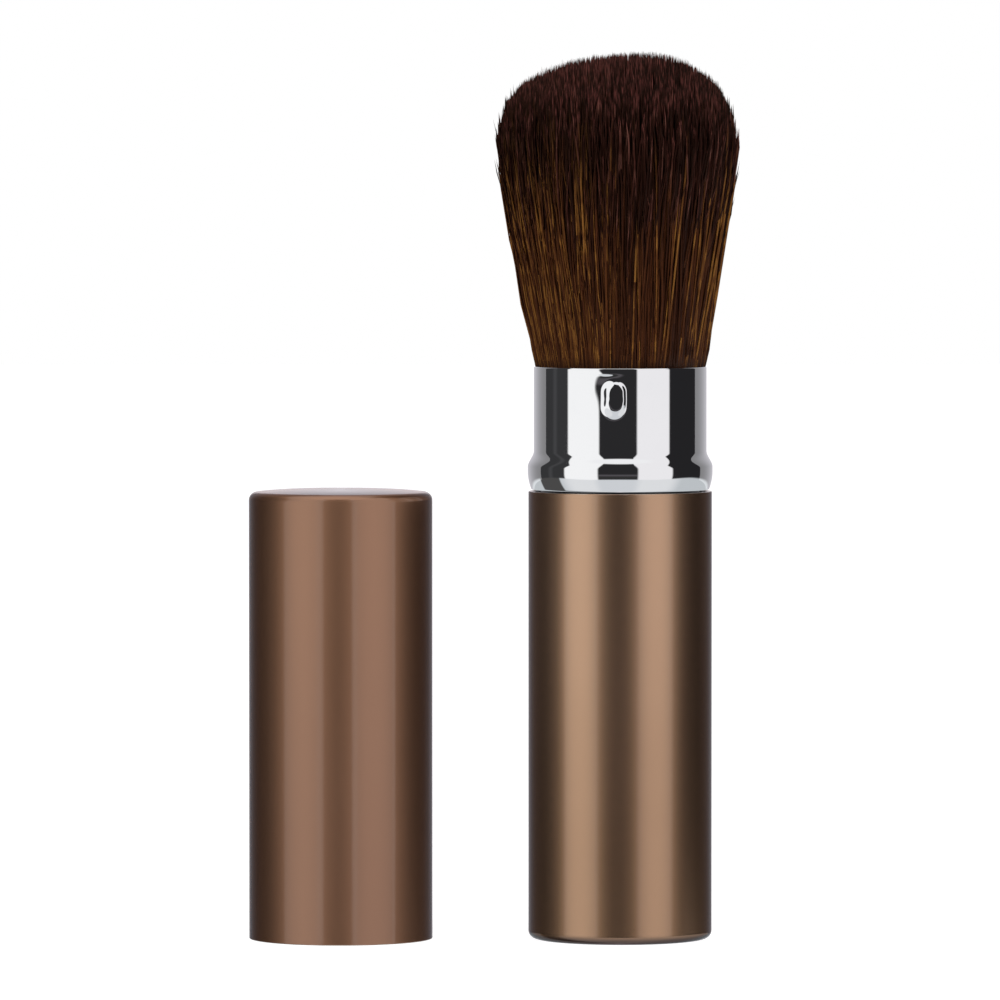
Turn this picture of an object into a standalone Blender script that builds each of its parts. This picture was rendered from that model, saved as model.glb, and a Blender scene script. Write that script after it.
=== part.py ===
"""Retractable makeup brush, standing open on its handle, with its cap beside it.

The handle's flat end is centred on the origin and +Z runs up the brush. The chrome
collar and the sleeve under it slide up the handle, and the hair gathers inside them.
All lengths are metres. The named sizes come first and every place follows from them.
"""

import math

import bmesh
import bpy
from mathutils import Matrix, Vector, geometry

MM = 0.001

# Fits between neighbours
SEAT_GAP = 0.3 * MM  # between two faces that rest on each other
FIT_GAP = 0.1 * MM  # between two pieces that are pressed or glued together
SLIDE_GAP = 0.15 * MM  # between two pieces that slide
OVERRUN = 1.0 * MM  # how far a cutter runs past what it cuts

# Handle shell, a drawn aluminium cup
HANDLE_DIAMETER = 22.0 * MM
HANDLE_LENGTH = 53.7 * MM
SHELL_WALL = 0.5 * MM
HANDLE_CORNER = 1.0 * MM
RIM_CHAMFER = 0.12 * MM

# Base weight, a steel ring on the shell's floor
WEIGHT_HEIGHT = 2.0 * MM
WEIGHT_CHAMFER = 0.8 * MM
WEIGHT_HOLE_RADIUS = 3.4 * MM

# Handle liner, a moulded cup that the sleeve slides in
LINER_WALL = 0.75 * MM
LINER_FLOOR = 1.6 * MM
ROD_SOCKET_DEPTH = 0.8 * MM
DETENT_DEPTH = 0.2 * MM
DETENT_WIDTH = 1.2 * MM
GUIDE_RIB_HEIGHT = 0.4 * MM
GUIDE_RIB_WIDTH = 1.4 * MM
GUIDE_RIBS = 2

# Inner sleeve, the moulded tube that carries the collar
SLEEVE_WALL = 0.9 * MM
SLEEVE_FLOOR = 1.2 * MM
SLEEVE_FLANGE_HEIGHT = 0.8 * MM
SLEEVE_BELOW_MOUTH = 3.0 * MM
SLEEVE_FLARE_HEIGHT = 2.5 * MM
SLEEVE_LIP = 0.35 * MM
TONGUE_WIDTH = 3.0 * MM
TONGUE_LENGTH = 8.0 * MM
TONGUE_SLIT = 0.6 * MM
TONGUE_ROOT = 2.2 * MM  # from the sleeve's floor to the tongue's free end
CLICK_BUMP_RADIUS = 0.9 * MM
CLICK_BUMP_GAP = 0.05 * MM
TONGUES = 2

# Chrome collar, a drawn tube with a rolled bead
COLLAR_DIAMETER = 20.7 * MM
COLLAR_WALL = 0.4 * MM
COLLAR_HEIGHT = 14.5 * MM
BEAD_DIAMETER = 22.12 * MM
BEAD_HEIGHT = 4.5 * MM
BEAD_SHOULDER_SHARE = 0.7  # where the bead's upright band begins, as a share of its height
BEAD_ROLL_SHARE = 0.36  # and where it ends and rolls in to the lip
BEAD_LIP_DIAMETER = 21.35 * MM
MOUTH_ROUNDING = 0.18 * MM

# Friction nubs pressed out of the collar to hold the cap
NUBS = 3
NUB_WIDTH = 3.2 * MM
NUB_LENGTH = 5.1 * MM
NUB_RELIEF = 0.3 * MM
NUB_BELOW_MOUTH = 4.1 * MM
NUB_TURN = -4.1  # degrees from the front, the first nub's place

# Push rod and the ferrule that it carries
ROD_DIAMETER = 6.0 * MM
ROD_HEAD_FLANGE = 1.2 * MM
ROD_PLUG_HEIGHT = 5.0 * MM
FERRULE_GAP = 0.2 * MM
FERRULE_WALL = 0.35 * MM
FERRULE_BELOW_MOUTH = 6.0 * MM
CRIMP_DEPTH = 0.25 * MM
CRIMP_WIDTH = 1.6 * MM

# Screw and washer that hold the rod to the liner
SCREW_RADIUS = 1.2 * MM
SCREW_LENGTH = 8.0 * MM
SCREW_HEAD_RADIUS = 2.4 * MM
SCREW_HEAD_HEIGHT = 1.2 * MM
SCREW_SLOT_WIDTH = 0.6 * MM
SCREW_SLOT_DEPTH = 0.5 * MM
SCREW_TIP = 0.8 * MM
PILOT_SPARE = 1.0 * MM
WASHER_RADIUS = 3.0 * MM
WASHER_HEIGHT = 0.4 * MM

# Hair, its thread and the resin that holds its roots
HAIR_DIAMETER = 29.6 * MM
DOME_HEIGHT = 10.5 * MM
DOME_POWER = 2.3
TIP_COVER = 0.5 * MM  # how far the raised collar stands above the hair's top
ROOT_BELOW_FERRULE_RIM = 2.0 * MM
RESIN_HEIGHT = 8.0 * MM
ROOT_SLICE = 1.2 * MM
THREAD_THICKNESS = 0.55 * MM
THREAD_TURNS = 3
STRANDS = 360
STRAND_ROOT = 0.25 * MM  # a strand's half thickness where it leaves the resin
STRAND_MOUTH = 0.34 * MM  # and at the collar's mouth
STRAND_SHOULDER = 0.5 * MM  # and where its point begins
SHOULDER_SHARE = 0.78  # how far up a strand its point begins, from the mouth
SHOULDER_SPREAD_SHARE = 0.86  # how much of its outward lean it has by then
GOLDEN_ANGLE = math.pi * (3 - math.sqrt(5))

# Cap, a drawn aluminium cup that stands beside the handle
CAP_LENGTH = 53.7 * MM
CAP_CORNER = 1.0 * MM
CAP_CROWN = 0.2 * MM
CAP_DISTANCE = 33.5 * MM

# Facets
SHELL_STEPS = 48
INNER_STEPS = 32
SMALL_STEPS = 24
CORNER_STEPS = 4
SHARP_ANGLE = math.radians(40)
MERGE = 0.0005 * MM

# Radii, from the outside in
shell_radius = HANDLE_DIAMETER / 2
shell_bore = shell_radius - SHELL_WALL
liner_radius = shell_bore - FIT_GAP
liner_bore = liner_radius - LINER_WALL
sleeve_radius = liner_bore - SLIDE_GAP
sleeve_bore = sleeve_radius - SLEEVE_WALL
ferrule_radius = sleeve_bore - FERRULE_GAP
ferrule_bore = ferrule_radius - FERRULE_WALL
plug_radius = ferrule_bore - FIT_GAP
collar_radius = COLLAR_DIAMETER / 2
collar_bore = collar_radius - COLLAR_WALL
head_radius = collar_bore - FIT_GAP
bead_radius = BEAD_DIAMETER / 2
lip_radius = BEAD_LIP_DIAMETER / 2
flange_radius = lip_radius - COLLAR_WALL - FIT_GAP
rod_radius = ROD_DIAMETER / 2
root_radius = plug_radius - THREAD_THICKNESS - FIT_GAP
hair_radius = HAIR_DIAMETER / 2

# Heights of the base, from the table up
weight_bottom = SHELL_WALL + SEAT_GAP
weight_top = weight_bottom + WEIGHT_HEIGHT
liner_bottom = weight_top + SEAT_GAP
liner_floor = liner_bottom + LINER_FLOOR
rod_bottom = liner_floor - ROD_SOCKET_DEPTH + SEAT_GAP
sleeve_bottom = liner_floor + SEAT_GAP
sleeve_floor = sleeve_bottom + SLEEVE_FLOOR

# Heights of the head, from the collar's mouth down
collar_bottom = HANDLE_LENGTH + SEAT_GAP
mouth = collar_bottom + COLLAR_HEIGHT
sleeve_top = mouth - SLEEVE_BELOW_MOUTH
ferrule_top = mouth - FERRULE_BELOW_MOUTH
hair_root = ferrule_top - ROOT_BELOW_FERRULE_RIM
slice_bottom = hair_root - ROOT_SLICE
resin_top = slice_bottom - SEAT_GAP
resin_bottom = resin_top - RESIN_HEIGHT
plug_top = resin_bottom - SEAT_GAP
plug_bottom = plug_top - ROD_PLUG_HEIGHT
ferrule_bottom = plug_bottom + SEAT_GAP
rod_head = plug_bottom - ROD_HEAD_FLANGE

# The sleeve rises until its floor meets the rod's head, and the hair is as long as it covers
travel = rod_head - SEAT_GAP - sleeve_floor
hair_top = mouth + travel - TIP_COVER
tongue_bottom = sleeve_floor + TONGUE_ROOT
tongue_top = tongue_bottom + TONGUE_LENGTH
bump_height = tongue_bottom + CLICK_BUMP_RADIUS + TONGUE_SLIT / 2


def principled(name, colour, roughness, metallic=0.0):
    """A plain finish of one colour."""
    material = bpy.data.materials.new(name)
    material.use_nodes = True
    shader = material.node_tree.nodes["Principled BSDF"]
    shader.inputs["Base Color"].default_value = (*colour, 1.0)
    shader.inputs["Roughness"].default_value = roughness
    shader.inputs["Metallic"].default_value = metallic
    return material


def finished(name, mesh, material):
    """The object for a bmesh, shaded smooth but for its sharp edges."""
    data = bpy.data.meshes.new(name)
    mesh.to_mesh(data)
    mesh.free()
    data.materials.append(material)
    data.shade_smooth()
    data.set_sharp_from_angle(angle=SHARP_ANGLE)
    made = bpy.data.objects.new(name, data)
    bpy.context.scene.collection.objects.link(made)
    return made


def arc(centre, radius, start, end, steps=CORNER_STEPS):
    """Points of an arc in the (radius, height) plane, angles in degrees from outward."""
    angles = [math.radians(start + (end - start) * i / steps) for i in range(steps + 1)]
    return [
        (centre[0] + radius * math.cos(a), centre[1] + radius * math.sin(a))
        for a in angles
    ]


def turned(name, outline, material, steps=INNER_STEPS, ring=False):
    """A body of revolution about +Z. A ring's outline closes on itself, clear of the axis."""
    mesh = bmesh.new()
    points = [mesh.verts.new((radius, 0, height)) for radius, height in outline]
    ends = points[1:] + points[:1] if ring else points[1:]
    edges = [mesh.edges.new(pair) for pair in zip(points, ends)]
    bmesh.ops.spin(
        mesh,
        geom=points + edges,
        cent=(0, 0, 0),
        axis=(0, 0, 1),
        dvec=(0, 0, 0),
        angle=math.tau,
        steps=steps,
        use_merge=True,
    )
    bmesh.ops.remove_doubles(mesh, verts=mesh.verts, dist=MERGE)
    bmesh.ops.recalc_face_normals(mesh, faces=mesh.faces)
    return finished(name, mesh, material)


def combined(target, tool, operation):
    """Adds or cuts a hidden tool shape with an exact Boolean."""
    tool.hide_render = True
    tool.display_type = "WIRE"
    change = target.modifiers.new(tool.name, "BOOLEAN")
    change.operation = operation
    change.object = tool
    change.solver = "EXACT"
    return target


def box_tool(name, low, high, places):
    """One mesh of equal boxes, copied to each of the places."""
    mesh = bmesh.new()
    middle = (Vector(low) + Vector(high)) / 2
    size = Vector(high) - Vector(low)
    for place in places:
        matrix = place @ Matrix.Translation(middle) @ Matrix.Diagonal((*size, 1.0))
        bmesh.ops.create_cube(mesh, size=1, matrix=matrix)
    return finished(name, mesh, tool_finish)


def turns_about_axis(count, first=0.0):
    """Rotations about +Z that share a turn evenly, from the first angle in radians."""
    return [Matrix.Rotation(first + math.tau * i / count, 4, "Z") for i in range(count)]


def end_outline(reach, level, crown):
    """A cup's closed end from the axis outward, flat or crowned, without its last point."""
    steps = CORNER_STEPS if crown else 1
    shares = [i / steps for i in range(steps)]
    return [(reach * share, level - crown * (1 - share * share)) for share in shares]


def cup_outline(radius, wall, length, corner, chamfer, crown=0.0):
    """A drawn cup, from the middle of its closed end out, round the rim and back inside."""
    bore = radius - wall
    return [
        *end_outline(radius - corner, 0, crown),
        *arc((radius - corner, corner), corner, -90, 0),
        (radius, length - chamfer),
        (radius - chamfer, length),
        (bore + chamfer, length),
        (bore, length - chamfer),
        *arc((radius - corner, corner), corner - wall, 0, -90),
        *reversed(end_outline(radius - corner, wall, crown)),
    ]


def make_handle_shell():
    outline = cup_outline(
        shell_radius, SHELL_WALL, HANDLE_LENGTH, HANDLE_CORNER, RIM_CHAMFER
    )
    return turned("handle_shell", outline, bronze, SHELL_STEPS)


def make_base_weight():
    outline = [
        (WEIGHT_HOLE_RADIUS, weight_bottom),
        (liner_radius - WEIGHT_CHAMFER, weight_bottom),
        (liner_radius, weight_bottom + WEIGHT_CHAMFER),
        (liner_radius, weight_top),
        (WEIGHT_HOLE_RADIUS, weight_top),
    ]
    return turned("base_weight", outline, steel, ring=True)


def detent(height):
    """A shallow ring groove in the liner's bore, from its lower edge to its upper one."""
    half = DETENT_WIDTH / 2
    return [
        (liner_bore, height - half),
        (liner_bore + DETENT_DEPTH, height),
        (liner_bore, height + half),
    ]


def make_handle_liner():
    hole = SCREW_RADIUS + SEAT_GAP
    socket = rod_radius + FIT_GAP
    socket_floor = liner_floor - ROD_SOCKET_DEPTH
    outline = [
        (hole, liner_bottom),
        (liner_radius, liner_bottom),
        (liner_radius, HANDLE_LENGTH),
        (liner_bore, HANDLE_LENGTH),
        *reversed(detent(bump_height + travel)),
        *reversed(detent(bump_height)),
        (liner_bore, liner_floor),
        (socket, liner_floor),
        (socket, socket_floor),
        (hole, socket_floor),
    ]
    liner = turned("handle_liner", outline, black_plastic, ring=True)
    half = GUIDE_RIB_WIDTH / 2
    ribs = box_tool(
        "guide_ribs",
        (liner_bore - GUIDE_RIB_HEIGHT, -half, liner_floor - LINER_FLOOR / 2),
        (liner_bore + LINER_WALL / 2, half, HANDLE_LENGTH - GUIDE_RIB_WIDTH),
        turns_about_axis(GUIDE_RIBS),
    )
    return combined(liner, ribs, "UNION")


def tongue_slits():
    """U-shaped slits that free each click tongue from the sleeve's wall."""
    half = TONGUE_WIDTH / 2
    outline = [
        (-half - TONGUE_SLIT, tongue_top),
        (-half - TONGUE_SLIT, tongue_bottom - TONGUE_SLIT),
        (half + TONGUE_SLIT, tongue_bottom - TONGUE_SLIT),
        (half + TONGUE_SLIT, tongue_top),
        (half, tongue_top),
        (half, tongue_bottom),
        (-half, tongue_bottom),
        (-half, tongue_top),
    ]
    mesh = bmesh.new()
    depth = SLEEVE_WALL + 2 * OVERRUN
    for turn in turns_about_axis(TONGUES, math.pi / 2):
        inner = [
            mesh.verts.new(turn @ Vector((sleeve_bore - OVERRUN, side, height)))
            for side, height in outline
        ]
        face = mesh.faces.new(inner)
        grown = bmesh.ops.extrude_face_region(mesh, geom=[face])["geom"]
        moved = [item for item in grown if isinstance(item, bmesh.types.BMVert)]
        outward = (turn @ Vector((1, 0, 0))) * depth
        bmesh.ops.translate(mesh, verts=moved, vec=outward)
    bmesh.ops.recalc_face_normals(mesh, faces=mesh.faces)
    return finished("tongue_slits", mesh, tool_finish)


def click_bumps():
    """Low round bumps on the tongues' free ends, at the height they have when pressed in."""
    mesh = bmesh.new()
    crown = liner_bore - CLICK_BUMP_GAP
    for turn in turns_about_axis(TONGUES, math.pi / 2):
        centre = Vector((crown - CLICK_BUMP_RADIUS / 2, 0, bump_height))
        flat = Matrix.Diagonal((0.5, 1, 1, 1))
        bmesh.ops.create_uvsphere(
            mesh,
            u_segments=12,
            v_segments=8,
            radius=CLICK_BUMP_RADIUS,
            matrix=turn @ Matrix.Translation(centre) @ flat,
        )
    return finished("click_bumps", mesh, tool_finish)


def make_inner_sleeve():
    rod_hole = rod_radius + FERRULE_GAP
    flange_top = collar_bottom + SLEEVE_FLANGE_HEIGHT
    outline = [
        (rod_hole, sleeve_bottom),
        (sleeve_radius, sleeve_bottom),
        (sleeve_radius, collar_bottom),
        (flange_radius, collar_bottom),
        (flange_radius, flange_top),
        (head_radius, flange_top),
        (head_radius, sleeve_top),
        (head_radius - SLEEVE_LIP, sleeve_top),
        (sleeve_bore, sleeve_top - SLEEVE_FLARE_HEIGHT),
        (sleeve_bore, sleeve_floor),
        (rod_hole, sleeve_floor),
    ]
    sleeve = turned("inner_sleeve", outline, black_plastic, ring=True)
    half = GUIDE_RIB_WIDTH / 2 + SLIDE_GAP
    grooves = box_tool(
        "guide_grooves",
        (liner_bore - GUIDE_RIB_HEIGHT - SLIDE_GAP, -half, sleeve_bottom - OVERRUN),
        (liner_bore + OVERRUN, half, collar_bottom - SEAT_GAP),
        turns_about_axis(GUIDE_RIBS),
    )
    combined(sleeve, grooves, "DIFFERENCE")
    combined(sleeve, tongue_slits(), "DIFFERENCE")
    return combined(sleeve, click_bumps(), "UNION")


def bead_curve(inset):
    """The collar's outline from the neck down over the bead to its lip, moved inward."""
    top = collar_bottom + BEAD_HEIGHT
    shoulder = collar_bottom + BEAD_HEIGHT * BEAD_SHOULDER_SHARE
    roll = collar_bottom + BEAD_HEIGHT * BEAD_ROLL_SHARE
    swell = bead_radius - collar_radius
    tuck = bead_radius - lip_radius
    shares = [i / CORNER_STEPS for i in range(CORNER_STEPS + 1)]
    flare = [
        (collar_radius + swell * share * share * (3 - 2 * share), top + (shoulder - top) * share)
        for share in shares
    ]
    rolled = [
        (
            bead_radius - tuck * (1 - math.cos(share * math.pi / 2)),
            roll - (roll - collar_bottom) * math.sin(share * math.pi / 2),
        )
        for share in shares
    ]
    return [(radius - inset, height) for radius, height in flare + rolled]


def friction_nubs():
    """Flattened balls that stand out of the collar's wall."""
    mesh = bmesh.new()
    front = math.radians(NUB_TURN) - math.pi / 2
    stretch = Matrix.Diagonal((NUB_RELIEF, NUB_WIDTH / 2, NUB_LENGTH / 2, 1))
    centre = Vector((collar_radius, 0, mouth - NUB_BELOW_MOUTH))
    for turn in turns_about_axis(NUBS, front):
        bmesh.ops.create_uvsphere(
            mesh,
            u_segments=12,
            v_segments=8,
            radius=1,
            matrix=turn @ Matrix.Translation(centre) @ stretch,
        )
    return finished("friction_nubs", mesh, tool_finish)


def make_collar():
    level = mouth - MOUTH_ROUNDING
    outline = [
        *reversed(bead_curve(0)),
        *arc((collar_radius - MOUTH_ROUNDING, level), MOUTH_ROUNDING, 0, 90, 2),
        *arc((collar_bore + MOUTH_ROUNDING, level), MOUTH_ROUNDING, 90, 180, 2),
        *bead_curve(COLLAR_WALL),
    ]
    collar = turned("collar", outline, chrome, SHELL_STEPS, ring=True)
    return combined(collar, friction_nubs(), "UNION")


def make_push_rod():
    pilot = SCREW_RADIUS + FIT_GAP
    pilot_top = liner_bottom + SCREW_LENGTH + PILOT_SPARE
    crimp = plug_bottom + ROD_PLUG_HEIGHT / 2
    groove = plug_radius - CRIMP_DEPTH - FIT_GAP
    outline = [
        (0, pilot_top + pilot),
        (pilot, pilot_top),
        (pilot, rod_bottom),
        (rod_radius, rod_bottom),
        (rod_radius, rod_head),
        (ferrule_radius, rod_head),
        (ferrule_radius, plug_bottom),
        (plug_radius, plug_bottom),
        (plug_radius, crimp - CRIMP_WIDTH / 2 - FIT_GAP),
        (groove, crimp - FIT_GAP),
        (groove, crimp + FIT_GAP),
        (plug_radius, crimp + CRIMP_WIDTH / 2 + FIT_GAP),
        (plug_radius, plug_top),
        (0, plug_top),
    ]
    return turned("push_rod", outline, natural_plastic)


def make_ferrule():
    crimp = plug_bottom + ROD_PLUG_HEIGHT / 2
    half = CRIMP_WIDTH / 2
    outline = [
        (ferrule_bore, ferrule_bottom),
        (ferrule_radius, ferrule_bottom),
        (ferrule_radius, crimp - half),
        (ferrule_radius - CRIMP_DEPTH, crimp),
        (ferrule_radius, crimp + half),
        (ferrule_radius, ferrule_top),
        (ferrule_bore, ferrule_top),
        (ferrule_bore, crimp + half),
        (ferrule_bore - CRIMP_DEPTH, crimp),
        (ferrule_bore, crimp - half),
    ]
    return turned("ferrule", outline, bright_aluminium, ring=True)


def make_rod_screw():
    head_top = liner_bottom - SEAT_GAP - WASHER_HEIGHT - SEAT_GAP
    head_bottom = head_top - SCREW_HEAD_HEIGHT
    tip = liner_bottom + SCREW_LENGTH
    rounding = SCREW_HEAD_HEIGHT / 2
    corner = (SCREW_HEAD_RADIUS - rounding, head_bottom + rounding)
    outline = [
        (0, head_bottom),
        *arc(corner, rounding, -90, 0, 3),
        (SCREW_HEAD_RADIUS, head_top),
        (SCREW_RADIUS, head_top),
        (SCREW_RADIUS, tip - SCREW_TIP),
        (0, tip),
    ]
    screw = turned("rod_screw", outline, steel, SMALL_STEPS)
    half = SCREW_SLOT_WIDTH / 2
    reach = SCREW_HEAD_RADIUS + OVERRUN
    slot = box_tool(
        "screw_slot",
        (-reach, -half, head_bottom - OVERRUN),
        (reach, half, head_bottom + SCREW_SLOT_DEPTH),
        turns_about_axis(1),
    )
    return combined(screw, slot, "DIFFERENCE")


def make_screw_washer():
    bottom = liner_bottom - SEAT_GAP - WASHER_HEIGHT
    hole = SCREW_RADIUS + SEAT_GAP
    outline = [
        (hole, bottom),
        (WASHER_RADIUS, bottom),
        (WASHER_RADIUS, bottom + WASHER_HEIGHT),
        (hole, bottom + WASHER_HEIGHT),
    ]
    return turned("screw_washer", outline, steel, SMALL_STEPS, ring=True)


def make_resin_plug():
    outline = [
        (0, resin_bottom),
        (plug_radius, resin_bottom),
        (plug_radius, resin_top),
        (0, resin_top),
    ]
    return turned("resin_plug", outline, resin)


def make_root_thread():
    """The thread that ties the roots, wound round the slice of resin under the hair."""
    turn = ROOT_SLICE / THREAD_TURNS
    inner = plug_radius - THREAD_THICKNESS
    outline = [(inner, slice_bottom)]
    for i in range(THREAD_TURNS):
        middle = (plug_radius - turn / 2, slice_bottom + turn * (i + 0.5))
        outline += arc(middle, turn / 2, -90, 90, 2)
    outline.append((inner, hair_root))
    return turned("root_thread", outline, thread, ring=True)


def dome(radius):
    """Height of the hair's domed top at a radius."""
    share = min(radius / hair_radius, 1.0)
    fall = (1 - share**DOME_POWER) ** (1 / DOME_POWER)
    return hair_top - DOME_HEIGHT * (1 - fall)


def strand_rings(share):
    """(radius, height, half thickness) of a strand's rings, at a share of the bundle's radius."""
    root = (root_radius - STRAND_ROOT - FIT_GAP) * share
    mouth_radius = (collar_bore - SEAT_GAP - STRAND_MOUTH) * share
    tip_radius = hair_radius * share
    tip = dome(tip_radius)
    shoulder = mouth_radius + (tip_radius - mouth_radius) * SHOULDER_SPREAD_SHARE
    shoulder_height = mouth + (tip - mouth) * SHOULDER_SHARE
    return [
        (root, hair_root, STRAND_ROOT),
        (mouth_radius, mouth, STRAND_MOUTH),
        (shoulder, shoulder_height, STRAND_SHOULDER),
        (tip_radius, tip, 0),
    ]


def strand_points(index):
    """The corners of a strand's rings, from its foot to its pointed tip."""
    share = math.sqrt((index + 0.5) / STRANDS)
    turn = Matrix.Rotation(index * GOLDEN_ANGLE, 3, "Z")
    rings = []
    for radius, height, half in strand_rings(share):
        centre = Vector((radius, 0, height))
        sides = 3 if half else 1
        offsets = [
            Vector((math.cos(angle), math.sin(angle), 0)) * half
            for angle in (math.tau * side / 3 for side in range(sides))
        ]
        rings.append([turn @ (centre + offset) for offset in offsets])
    return rings


def slice_top(rim, feet):
    """Triangles between the slice's rim and the strands' feet, as numbers of its points."""
    flat = [point.to_2d() for ring in (rim, *feet) for point in ring]
    rings = [list(range(len(rim)))]
    for foot in feet:
        first = rings[-1][-1] + 1
        rings.append([first + corner for corner in range(len(foot))])
    found = geometry.delaunay_2d_cdt(flat, [], rings, 1, MERGE)
    faces, owners = found[2], found[5]
    return [face for face, owner in zip(faces, owners) if owner == [0]]


def make_hair_tuft():
    """All the strands, grown out of one slice of the resin that holds their roots."""
    strands = [strand_points(index) for index in range(STRANDS)]
    angles = [math.tau * step / INNER_STEPS for step in range(INNER_STEPS)]
    rim = [
        Vector((root_radius * math.cos(angle), root_radius * math.sin(angle), hair_root))
        for angle in angles
    ]
    mesh = bmesh.new()
    upper = [mesh.verts.new(point) for point in rim]
    grown = [[[mesh.verts.new(p) for p in ring] for ring in strand] for strand in strands]
    points = upper + [corner for rings in grown for corner in rings[0]]
    for face in slice_top(rim, [strand[0] for strand in strands]):
        mesh.faces.new([points[corner] for corner in face])
    lower = [mesh.verts.new(point - Vector((0, 0, ROOT_SLICE))) for point in rim]
    mesh.faces.new(reversed(lower))
    for i in range(INNER_STEPS):
        j = (i + 1) % INNER_STEPS
        mesh.faces.new([lower[i], lower[j], upper[j], upper[i]])
    for rings in grown:
        for below, above in zip(rings, rings[1:]):
            for i in range(3):
                j = (i + 1) % 3
                over = [above[j], above[i]] if len(above) > 1 else above
                mesh.faces.new([below[i], below[j], *over])
    bmesh.ops.recalc_face_normals(mesh, faces=mesh.faces)
    return finished("hair_tuft", mesh, hair)


def make_cap_shell():
    """The cap is the same drawn cup as the handle, turned over to stand on its rim."""
    outline = cup_outline(
        shell_radius, SHELL_WALL, CAP_LENGTH, CAP_CORNER, RIM_CHAMFER, CAP_CROWN
    )
    outline = [(radius, CAP_LENGTH - height) for radius, height in outline]
    cap = turned("cap_shell", outline, bronze, SHELL_STEPS)
    cap.parent = cap_place
    return cap


for old in list(bpy.data.objects):
    bpy.data.objects.remove(old)

tool_finish = principled("tool", (0.8, 0.2, 0.2), 0.5)
bronze = principled("bronze_anodised", (0.36, 0.23, 0.15), 0.33, 1.0)
chrome = principled("bright_chrome", (0.86, 0.87, 0.89), 0.04, 1.0)
steel = principled("zinc_plated_steel", (0.55, 0.56, 0.58), 0.35, 1.0)
bright_aluminium = principled("bright_aluminium", (0.80, 0.81, 0.83), 0.2, 1.0)
black_plastic = principled("black_plastic", (0.02, 0.02, 0.022), 0.4)
natural_plastic = principled("natural_plastic", (0.75, 0.74, 0.70), 0.4)
resin = principled("amber_resin", (0.30, 0.16, 0.05), 0.2)
thread = principled("waxed_thread", (0.55, 0.47, 0.35), 0.8)
hair = principled("dark_brown_hair", (0.055, 0.018, 0.010), 0.45)

cap_place = bpy.data.objects.new("cap_place", None)
cap_place.location = (-CAP_DISTANCE, 0, 0)
bpy.context.scene.collection.objects.link(cap_place)

make_handle_shell()
make_base_weight()
make_handle_liner()
make_rod_screw()
make_screw_washer()
make_push_rod()
make_ferrule()
make_resin_plug()
make_root_thread()
make_hair_tuft()
make_inner_sleeve()
make_collar()
make_cap_shell()
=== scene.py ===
# %% [markdown]
# A retractable makeup brush
#
# The object is a slim powder brush. Its handle and its cap are two equal cups of bronze anodised
# aluminium, a chrome collar slides on the handle, and a dome of dark brown hair stands out of the
# collar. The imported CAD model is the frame: it says where every piece is and what moves. This
# lesson puts finer pieces and real finishes around it, and leaves the frame itself alone.

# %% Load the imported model
import math

import bmesh
import bpy
import numpy as np
from mathutils import Matrix, Vector


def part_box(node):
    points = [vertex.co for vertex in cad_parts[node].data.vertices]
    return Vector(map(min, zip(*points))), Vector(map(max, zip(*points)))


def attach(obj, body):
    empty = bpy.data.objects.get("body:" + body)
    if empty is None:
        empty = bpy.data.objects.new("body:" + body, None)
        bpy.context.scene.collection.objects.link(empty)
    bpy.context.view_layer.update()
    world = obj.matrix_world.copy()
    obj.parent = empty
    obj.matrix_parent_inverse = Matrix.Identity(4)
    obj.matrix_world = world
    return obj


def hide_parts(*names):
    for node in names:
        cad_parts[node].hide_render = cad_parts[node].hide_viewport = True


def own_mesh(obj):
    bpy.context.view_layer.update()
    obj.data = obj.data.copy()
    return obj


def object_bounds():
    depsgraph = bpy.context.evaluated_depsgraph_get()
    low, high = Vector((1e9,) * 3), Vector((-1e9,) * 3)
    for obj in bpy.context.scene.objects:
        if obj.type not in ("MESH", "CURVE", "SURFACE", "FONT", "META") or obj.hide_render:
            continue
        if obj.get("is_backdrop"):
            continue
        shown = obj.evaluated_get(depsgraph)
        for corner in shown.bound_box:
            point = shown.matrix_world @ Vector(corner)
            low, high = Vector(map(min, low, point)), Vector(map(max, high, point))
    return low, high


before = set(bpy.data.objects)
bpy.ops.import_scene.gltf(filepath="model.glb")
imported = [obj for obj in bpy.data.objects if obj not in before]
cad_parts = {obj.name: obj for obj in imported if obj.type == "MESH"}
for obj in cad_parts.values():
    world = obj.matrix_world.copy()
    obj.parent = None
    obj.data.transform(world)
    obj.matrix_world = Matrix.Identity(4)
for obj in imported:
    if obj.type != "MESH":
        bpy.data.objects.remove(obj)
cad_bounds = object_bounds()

MM = 0.001
print("nodes:", ", ".join(sorted(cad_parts)))

# %% [markdown]
# Sizes
#
# Everything is in metres. The outside sizes come from the boxes of the CAD nodes, so the pieces of
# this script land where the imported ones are. Walls and small roundings repeat the values of the
# CAD source, because a box doesn't show them.

# %% Sizes of the tubes
handle_low, handle_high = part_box("handle_shell")
cap_low, cap_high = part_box("cap_shell")
collar_low, collar_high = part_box("collar")

TUBE_RADIUS = (handle_high.x - handle_low.x) / 2
HANDLE_RIM = handle_high.z
CAP_TOP = cap_high.z
CAP_X = (cap_low.x + cap_high.x) / 2
SHELL_WALL = 0.5 * MM
TUBE_CORNER = 1.0 * MM
RIM_CHAMFER = 0.12 * MM
RIM_ROUNDING = 0.11 * MM
CAP_CROWN = 0.30 * MM
CROWN_POWER = 4
CAP_END_DROP = 0.27 * MM
COLLAR_FOOT = collar_low.z
MOUTH = collar_high.z
COLLAR_RADIUS = 10.35 * MM
COLLAR_BORE = 9.95 * MM
HAIR_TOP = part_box("hair_tuft")[1].z
print("tube radius %.2f mm, handle rim at %.2f mm, mouth at %.2f mm, hair top at %.2f mm" % (
    TUBE_RADIUS / MM, HANDLE_RIM / MM, MOUTH / MM, HAIR_TOP / MM))

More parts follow.
